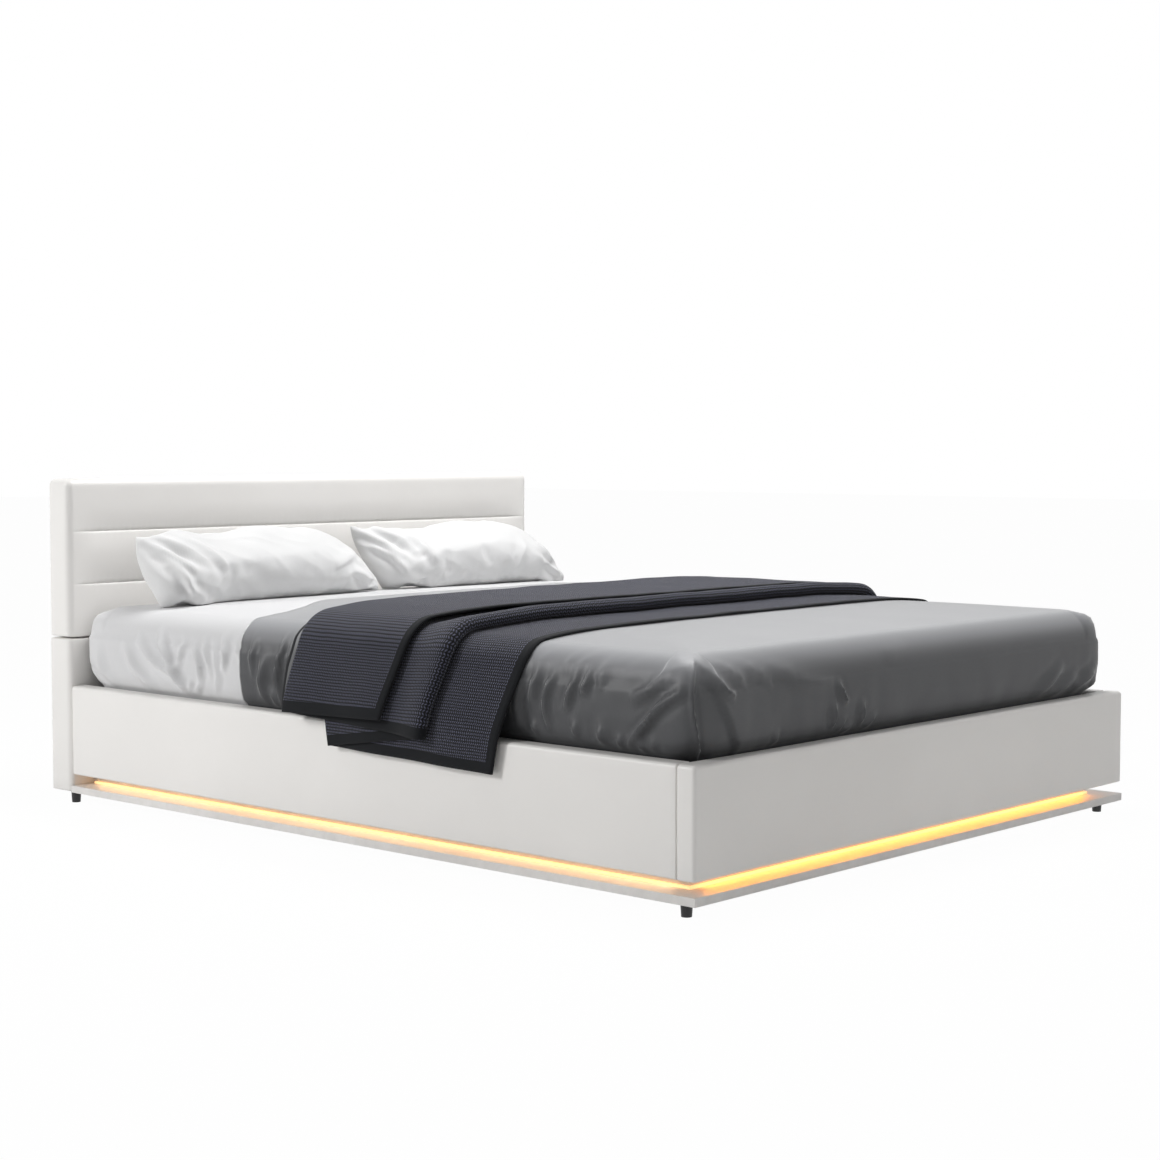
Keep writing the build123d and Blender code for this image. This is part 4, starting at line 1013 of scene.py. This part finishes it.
def fill_pillow(piece):
    """Lets the case swell under its filling's pressure, with a little spare cloth to crease."""
    start, frames, most = point_places(piece.data), 18, 12.0
    cloth = piece.modifiers.new("Cloth", "CLOTH")
    settings = cloth.settings
    settings.quality = 6
    settings.mass = 0.25
    settings.tension_stiffness = 18
    settings.compression_stiffness = 12
    settings.bending_stiffness = 0.35
    settings.use_pressure = True
    settings.uniform_pressure_force = 2.4
    settings.shrink_min = -0.035
    settings.effector_weights.gravity = 0
    cloth.collision_settings.use_self_collision = False
    cloth.point_cache.frame_end = frames
    for step in range(frames):
        bpy.context.scene.frame_set(step + 1)
    evaluated = piece.evaluated_get(bpy.context.evaluated_depsgraph_get())
    move = point_places(evaluated.data) - start
    piece.modifiers.remove(cloth)
    bpy.context.scene.frame_set(1)
    size = np.linalg.norm(move, axis=1)
    move *= (np.minimum(size, most) / np.maximum(size, 1e-6))[:, None]
    move_points(piece, start + move)


def settle(piece):
    """Presses a pillow's underside onto the sheet and keeps it in front of the headboard."""
    places = point_places(piece.data)
    floor = bed_level(places[:, 0], places[:, 1], 3.6)
    over = np.maximum(places[:, 2] - floor, 0)
    places[:, 2] = floor + np.maximum(over - 16 * np.exp(-over / 45), 0)
    places[:, 1] = np.minimum(places[:, 1], PILLOW_BACK)
    move_points(piece, places)


# Fittings

def dress_nodes():
    """Gives each frame node that isn't replaced the finish of its slot."""
    finishes = {
        "black_plastic": solid_finish("moulded_black_abs", "0B0B0C", "17171A", 0.42, 1.2, 0.05),
        "steel_dark": solid_finish("powder_coated_steel", "1F1F22", "2C2C30", 0.5, 0.9, 0.06),
        "frame_grey": solid_finish("grey_powder_coated_tube", "7B7E80", "8E9193", 0.45, 0.9, 0.06),
        "plinth_white": solid_finish("foil_wrapped_board", "DEDBD8", "E9E7E4", 0.34, 40.0, 0.05,
                                     coat=0.1),
        "board": solid_finish("raw_pine_board", "C19A66", "DFC397", 0.68, 5.0, 0.25,
                              stretch=(0.12, 1, 1)),
        "floor_panel": solid_finish("melamine_faced_board", "C9C6C0", "D8D5D0", 0.4, 6.0, 0.04,
                                    stretch=(1, 0.1, 1)),
        "controller_case": solid_finish("moulded_white_abs", "DADAD7", "E8E8E5", 0.4, 1.0, 0.05),
        "cable_sheath": solid_finish("pvc_cable_sheath", "DCDBD5", "EBEAE4", 0.45, 3.0, 0.03),
        "zinc_steel": solid_finish("zinc_plated_steel", "A9AAA6", "C9CAC6", 0.32, 2.5, 0.03,
                                   metallic=1.0),
        "black_rubber": solid_finish("black_rubber", "0C0C0C", "191919", 0.85, 1.0, 0.1),
        "strut_black": solid_finish("enamelled_strut_tube", "0A0A0B", "141416", 0.22, 8.0, 0.02,
                                    coat=0.5),
        "strut_chrome": solid_finish("hard_chromed_rod", "C9CBCE", "DDDFE2", 0.12, 6.0, 0.01,
                                     metallic=1.0),
        "slat_wood": solid_finish("lacquered_birch_slat", "CFA76F", "E6CB9C", 0.4, 4.0, 0.15,
                                  stretch=(0.1, 1, 1), coat=0.3),
        "holder_plastic": solid_finish("moulded_black_nylon", "101011", "1D1D1F", 0.5, 1.0, 0.06),
        "light_diffuser": bpy.data.materials["milky_silicone_diffuser"],
        "strap_fabric": woven_cloth("woven_webbing", "17181B", "2E3036", thread=1.6,
                                    roughness=0.85, relief=0.5, sheen=0.2,
                                    sheen_roughness=0.5, kind="Object"),
    }
    for part in frame["record"]["subparts"]:
        finish = finishes.get(part["material_slot"])
        if finish:
            materials = frame["nodes"][part["node"]].data.materials
            materials.clear()
            materials.append(finish)


# Stage

# Name, place, target and size in metres, and power in watts, of each lamp
SOFTBOXES = (
    ("window_side_softbox", (-5.6, 3.0, 2.9), (-0.4, 0.0, 0.4), (1.6, 1.6), 195),
    ("overhead_softbox", (0.4, -0.1, 3.1), (0, 0.4, 0.5), (1.4, 1.2), 84),
    ("front_softbox", (0.6, -5.0, 2.2), (0.2, 0, 0.4), (2.0, 1.6), 22),
)
# The photograph's camera, solved from the straight edges of the bed: place in metres, degrees
# down and round, and focal length in the photograph's pixels
CAMERA_PLACE = (-4.0703, -3.6848, 0.9292)
CAMERA_DOWN, CAMERA_TURN = 3.587, 47.904
FOCAL_PIXELS, PHOTO_PIXELS = 2140.85, 1160
SENSOR = 36.0


def aim(thing, target):
    """Turns a lamp towards a point."""
    thing.rotation_euler = (Vector(target) - thing.location).to_track_quat("-Z", "Y").to_euler()


def add_lamp(name, place, size, power):
    """A rectangular area lamp, aimed down."""
    bpy.ops.object.light_add(type="AREA", location=place)
    lamp = bpy.context.active_object
    lamp.name = name
    lamp.data.shape = "RECTANGLE"
    lamp.data.size, lamp.data.size_y = size
    lamp.data.energy = power
    return lamp


def add_strip_glow():
    """The light that each strip throws on the plinth and the recess boards, not seen itself."""
    width, lean = 8 * MM, math.radians(20)
    for side, pale in (("left", 0.46), ("right", 0.46), ("foot", 0.06)):
        low, high = span("light_strip_" + side)
        middle, size = (low + high) / 2, high - low
        length = (max(size[:2]) - 60) * MM
        out, turn, sheet = np.array([0, -1, 0]), (-lean, 0, 0), (length, width)
        if side != "foot":
            outer = np.sign(middle[0])
            out, turn, sheet = np.array([outer, 0, 0]), (0, -lean * outer, 0), (width, length)
        place = (middle + out * 14 + np.array([0, 0, 14])) * MM
        lamp = add_lamp("strip_glow_" + side, place, sheet, 0.48 - pale * 0.5)
        lamp.data.color = (1.0, 0.32 + pale * 0.6, 0.01 + pale * 0.6)
        lamp.visible_camera = False
        lamp.rotation_euler = turn


def seen_straight(tree):
    """1 for the camera's own rays, reflections and glass, and 0 for light on other surfaces."""
    path = add(tree, "ShaderNodeLightPath").outputs
    seen = maths(tree, "MAXIMUM", path["Is Camera Ray"], path["Is Glossy Ray"])
    return maths(tree, "MAXIMUM", seen, path["Is Transmission Ray"])


def pale_floor(shadow):
    """Matt white paper: the camera sees it white, with only a trace of the bed's shadow."""
    m = new_material("matt_white_paper")
    paper = add(m, "ShaderNodeBsdfDiffuse", {"Color": linear("F0F0F0")})
    white = add(m, "ShaderNodeEmission", {"Color": (1, 1, 1, 1), "Strength": 1.0})
    share = maths(m, "MULTIPLY", seen_straight(m), 1 - shadow)
    mix = add(m, "ShaderNodeMixShader", {0: share, 1: paper.outputs[0], 2: white.outputs[0]})
    add(m, "ShaderNodeOutputMaterial", {"Surface": mix.outputs[0]})
    return m


def white_world(level):
    """White to the camera and in reflections, and a plain even light on everything else."""
    world = bpy.data.worlds.new("studio_surround")
    world.use_nodes = True
    world.node_tree.nodes.clear()
    strength = between(world, seen_straight(world), level, 1.0)
    back = add(world, "ShaderNodeBackground", {"Color": (1, 1, 1, 1), "Strength": strength})
    add(world, "ShaderNodeOutputWorld", {"Surface": back.outputs[0]})
    bpy.context.scene.world = world


# Settings

def colour_setting(name, description, code):
    """A colour of the add-on's panel."""
    return FloatVectorProperty(name=name, description=description, subtype="COLOR", size=3,
                               min=0, max=1, default=linear(code)[:3])


def length_setting(name, description, default, low, high):
    """A length of the add-on's panel, given in mm."""
    return FloatProperty(name=name, description=description, default=default * MM,
                         min=low * MM, max=high * MM, unit="LENGTH")


class UpholsterySettings(bpy.types.PropertyGroup):
    """Sizes and colour of the leatherette covers."""
    colour: colour_setting("Leatherette", "Colour of the covers", "EEECE9")
    channel_depth: length_setting("Channel depth", "How far the headboard's seams are drawn in",
                                  7, 0, 20)
    fullness: length_setting("Fullness", "How far the padding swells", 2.2, 0, 10)
    edge_radius: length_setting("Edge radius", "Rounding of the rails' edges", 9, 2, 20)


class LightSettings(bpy.types.PropertyGroup):
    """The light strips in the recess."""
    colour: colour_setting("Light", "Colour of the light strips", "FFC283")
    strength: FloatProperty(name="Strength", description="Brightness of the light strips",
                            default=1.05, min=0, max=100)


class BeddingSettings(bpy.types.PropertyGroup):
    """Sizes and colours of the bedding."""
    # The hollows' near-black colour is painted shade in the knit's recesses between stitches
    knit_hollow_shade: colour_setting("Knit hollows", "Colour between stitches", "030405")
    knit_light: colour_setting("Knit yarn", "Colour of the yarn", "62647A")
    wale: length_setting("Wale", "Width of one column of stitches", 6.6, 2, 50)
    stitch: length_setting("Stitch", "Length of one stitch", 6.6, 2, 50)
    trim_width: length_setting("Trim", "Width of the throw's flat trim", 21, 5, 100)
    pillow_fullness: length_setting("Pillow fullness", "Pillow thickness", 160, 50, 250)


class StageSettings(bpy.types.PropertyGroup):
    """Light and floor around the bed."""
    surround: FloatProperty(name="Surround", description="Even light from all round",
                            default=0.22, min=0, max=2)
    shadow: FloatProperty(name="Shadow", description="How much of the floor's shadow shows",
                          default=0.02, min=0, max=1)


# Operators

class BED_OT_materials(bpy.types.Operator):
    """Makes the finishes that several pieces share"""
    bl_idname = "bed.materials"
    bl_label = "Shared finishes"

    def execute(self, context):
        scene = context.scene
        soft_leatherette(scene.bed_upholstery.colour)
        light_diffuser(scene.bed_light.colour, scene.bed_light.strength)
        cotton = {"thread": 0.9, "roughness": 0.8, "relief": 0.15, "sheen": 0.15,
                  "sheen_roughness": 0.6}
        woven_cloth("plain_cotton_sheet", "C9C9CA", "DEDEDF", **cotton)
        woven_cloth("plain_cotton_pillowcase", "D4D4D4", "E8E8E8", kind="Object", **cotton)
        # The coverlet's flat colour is a painted sheen: the satin's top made paler by height, for
        # its grazing highlight
        woven_cloth("satin_coverlet", "2C2D2F", "4A4B4E", thread=1.6, roughness=0.52,
                    relief=0.25, sheen=0.9, sheen_roughness=0.3, streak=0.25, gloss=0.52,
                    flat="949598")
        woven_cloth("knitted_ticking", "DCDDDE", "F1F1F1", thread=4.0, roughness=0.85,
                    relief=0.6, sheen=0.2, sheen_roughness=0.5, kind="Object")
        woven_cloth("flat_braid_trim", "0A0B0D", "191B1F", thread=2.4, roughness=0.9,
                    relief=0.6, sheen=0.05, sheen_roughness=0.5, gloss=0.2)
        chevron_knit(scene.bed_bedding.knit_hollow_shade, scene.bed_bedding.knit_light,
                     scene.bed_bedding.wale / MM, scene.bed_bedding.stitch / MM)
        return {"FINISHED"}


class BED_OT_rails(bpy.types.Operator):
    """Upholsters both side rails"""
    bl_idname = "bed.rails"
    bl_label = "Side rails"

    def execute(self, context):
        settings = context.scene.bed_upholstery
        full, edge = settings.fullness / MM, settings.edge_radius / MM
        for name in ("rail_cover_left", "rail_cover_right"):
            low, high = span(name)
            low[2] -= 0.5
            low[0] += full * 0.8 if name.endswith("left") else 0.3
            high[0] -= full * 0.8 if name.endswith("right") else 0.3
            upholster(name + "_padding", [name], low, high, [(edge, 3, 5), (edge, 14, edge)],
                      steps=(14, 16, 12), axis=0, fullness=full * 0.8)
        return {"FINISHED"}


class BED_OT_footboard(bpy.types.Operator):
    """Upholsters the foot board"""
    bl_idname = "bed.footboard"
    bl_label = "Foot board"

    def execute(self, context):
        settings = context.scene.bed_upholstery
        full, edge = settings.fullness / MM, settings.edge_radius / MM
        low, high = span("footboard_cover")
        low[1] += full * 0.8
        low[2] -= 0.5
        upholster("footboard_padding", ["footboard_cover"], low, high,
                  [(edge, edge, 5), (edge, edge, edge)], steps=(16, 12, 12), axis=1,
                  fullness=full * 0.8)
        return {"FINISHED"}


class BED_OT_headboard(bpy.types.Operator):
    """Upholsters the headboard's lower panel and its channelled upper panel"""
    bl_idname = "bed.headboard"
    bl_label = "Headboard"

    def execute(self, context):
        back = span("headboard_battens")[1][1] - BATTEN_PROUD
        low, high = span("headboard_lower_cover")
        low[2] -= 0.4
        high[1] -= 0.8
        upholster("headboard_lower_padding", ["headboard_lower_cover"], low, high,
                  [(16, 16, 5), (16, 9, 4)], steps=(18, 14, 14), axis=1, fullness=1.0,
                  back=back)
        low, _ = span("headboard_pad_bottom")
        _, high = span("headboard_upper_cover")
        high[1] -= 0.8
        high[2] = span("headboard_pad_top")[1][2]
        seams = [corner[2] for corner in span("headboard_pad_middle")]
        upholster("headboard_upper_padding",
                  ["headboard_pad_bottom", "headboard_pad_middle", "headboard_pad_top",
                   "headboard_upper_cover"], low, high,
                  [(20, 20, 4), (20, 12, 20)], steps=(6, 12, 9), axis=1, fullness=1.0,
                  shape=channel_relief, seams=seams, back=back)
        return {"FINISHED"}


class BED_OT_mattress(bpy.types.Operator):
    """Makes the mattress in its knitted ticking"""
    bl_idname = "bed.mattress"
    bl_label = "Mattress"

    def execute(self, context):
        even = ([0, 1], [26, 26])
        points, _, _, faces = bed_cloth(grow=-3.0, bottom=MATTRESS_LOW[2], head=None,
                                        steps_x=even, steps_y=even, drop_step=12.0)
        points = clear_rails(points, gap=6.0)
        piece = make_piece("filled_mattress", points, faces, "platform",
                           [bpy.data.materials["knitted_ticking"]])
        face_outwards(piece, lambda shell: bmesh.ops.contextual_create(
            shell, geom=[edge for edge in shell.edges if edge.is_boundary]))
        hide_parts("mattress")
        return {"FINISHED"}


class BED_OT_sheet(bpy.types.Operator):
    """Stretches the white fitted sheet over the mattress"""
    bl_idname = "bed.sheet"
    bl_label = "Fitted sheet"

    def execute(self, context):
        low, high = span("fitted_sheet")
        points, places, outward, faces = bed_cloth(
            grow=1.3, bottom=low[2], head=None, steps_x=([-800, -600, -300], [7, 16, 34]),
            steps_y=([280, 360], [34, 5.5]), drop_step=7.0)
        points = np.where(points[:, 1:2] > 0, squared(points, outward), points)
        bare = smoothstep((points[:, 1] - coverlet_head(points[:, 0])) / 22)
        points = fold_cloth(points, outward, SHEET_FOLDS, seed=2.0, slack=0.9, depth=2.7,
                            share=bare)
        points = clear_rails(points, gap=2.0)
        piece = make_piece("white_fitted_sheet", points, faces, "platform",
                           [bpy.data.materials["plain_cotton_sheet"]], places)
        thin_cloth(piece, thickness=0.8)
        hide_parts("fitted_sheet")
        return {"FINISHED"}


class BED_OT_coverlet(bpy.types.Operator):
    """Lays the satin coverlet with its tucked foot corners and folds"""
    bl_idname = "bed.coverlet"
    bl_label = "Coverlet"

    def execute(self, context):
        low, high = span("coverlet")
        points, places, outward, faces = bed_cloth(
            grow=5.4, bottom=low[2], head=coverlet_head,
            steps_x=([-520, -450, -200, -120, 520, 620], [5, 7, 8, 22, 22, 9]),
            steps_y=([-600, -540, -460, 90, 130], [5, 11, 28, 28, 6.5]), drop_step=7.5)
        points = squared(points, outward)
        points = fold_cloth(points, outward, COVERLET_FOLDS, seed=7.0, slack=1.3, depth=2.3)
        points = corner_pleat(points, outward)
        piece = make_piece("satin_coverlet_laid", points, faces, "platform",
                           [bpy.data.materials["satin_coverlet"]], places)
        thin_cloth(piece, thickness=1.0)
        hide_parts("coverlet")
        return {"FINISHED"}


class BED_OT_throw(bpy.types.Operator):
    """Lays the folded knitted throw across the bed"""
    bl_idname = "bed.throw"
    bl_label = "Throw"

    def execute(self, context):
        build_throw()
        return {"FINISHED"}


class BED_OT_pillows(bpy.types.Operator):
    """Fills both pillows and leans them on the headboard"""
    bl_idname = "bed.pillows"
    bl_label = "Pillows"

    def execute(self, context):
        for seed, name in enumerate(PILLOWS):
            build_pillow(name, seed)
        return {"FINISHED"}


class BED_OT_fittings(bpy.types.Operator):
    """Finishes the boards, steel, slats, lights and other fittings of the frame"""
    bl_idname = "bed.fittings"
    bl_label = "Fittings"

    def execute(self, context):
        dress_nodes()
        return {"FINISHED"}


class BED_OT_stage(bpy.types.Operator):
    """Sets the pale floor, soft studio light and the camera"""
    bl_idname = "bed.stage"
    bl_label = "Stage"

    def execute(self, context):
        settings = context.scene.bed_stage
        context.scene.view_settings.view_transform = "Standard"
        bpy.ops.object.select_all(action="DESELECT")
        bpy.ops.mesh.primitive_plane_add(size=60, location=(0, 0, 0))
        floor = context.active_object
        floor.name = "pale_floor"
        floor.data.materials.append(pale_floor(settings.shadow))
        white_world(settings.surround)
        for name, place, target, size, power in SOFTBOXES:
            aim(add_lamp(name, place, size, power), target)
        add_strip_glow()
        bpy.ops.object.camera_add(location=CAMERA_PLACE)
        camera = context.active_object
        camera.name = "photo_camera"
        camera.rotation_euler = (math.radians(90 - CAMERA_DOWN), 0, math.radians(-CAMERA_TURN))
        camera.data.sensor_width = SENSOR
        camera.data.lens = SENSOR * FOCAL_PIXELS / PHOTO_PIXELS
        context.scene.camera = camera
        return {"FINISHED"}


class BED_PT_panel(bpy.types.Panel):
    """Lists the bed's pieces in the order in which they are made"""
    bl_idname = "BED_PT_panel"
    bl_label = "Upholstered storage bed"
    bl_space_type = "VIEW_3D"
    bl_region_type = "UI"
    bl_category = "Bed"

    def draw(self, context):
        for operator in OPERATORS:
            self.layout.operator(operator.bl_idname)
        for settings in (context.scene.bed_upholstery, context.scene.bed_light,
                         context.scene.bed_bedding, context.scene.bed_stage):
            box = self.layout.box()
            for name in type(settings).__annotations__:
                box.prop(settings, name)


OPERATORS = (BED_OT_materials, BED_OT_rails, BED_OT_footboard, BED_OT_headboard,
             BED_OT_mattress, BED_OT_sheet, BED_OT_coverlet, BED_OT_throw, BED_OT_pillows,
             BED_OT_fittings, BED_OT_stage)
SETTINGS = {"bed_upholstery": UpholsterySettings, "bed_light": LightSettings,
            "bed_bedding": BeddingSettings, "bed_stage": StageSettings}


def register():
    for group in SETTINGS.values():
        bpy.utils.register_class(group)
    for operator in OPERATORS:
        bpy.utils.register_class(operator)
    bpy.utils.register_class(BED_PT_panel)
    for name, group in SETTINGS.items():
        setattr(bpy.types.Scene, name, PointerProperty(type=group))


def unregister():
    for name in SETTINGS:
        delattr(bpy.types.Scene, name)
    bpy.utils.unregister_class(BED_PT_panel)
    for operator in reversed(OPERATORS):
        bpy.utils.unregister_class(operator)
    for group in SETTINGS.values():
        bpy.utils.unregister_class(group)


def main():
    register()
    bpy.ops.bed.materials()
    bpy.ops.bed.rails()
    bpy.ops.bed.footboard()
    bpy.ops.bed.headboard()
    bpy.ops.bed.mattress()
    bpy.ops.bed.sheet()
    bpy.ops.bed.coverlet()
    bpy.ops.bed.throw()
    bpy.ops.bed.pillows()
    bpy.ops.bed.fittings()
    bpy.ops.bed.stage()


if __name__ == "__main__":
    main()
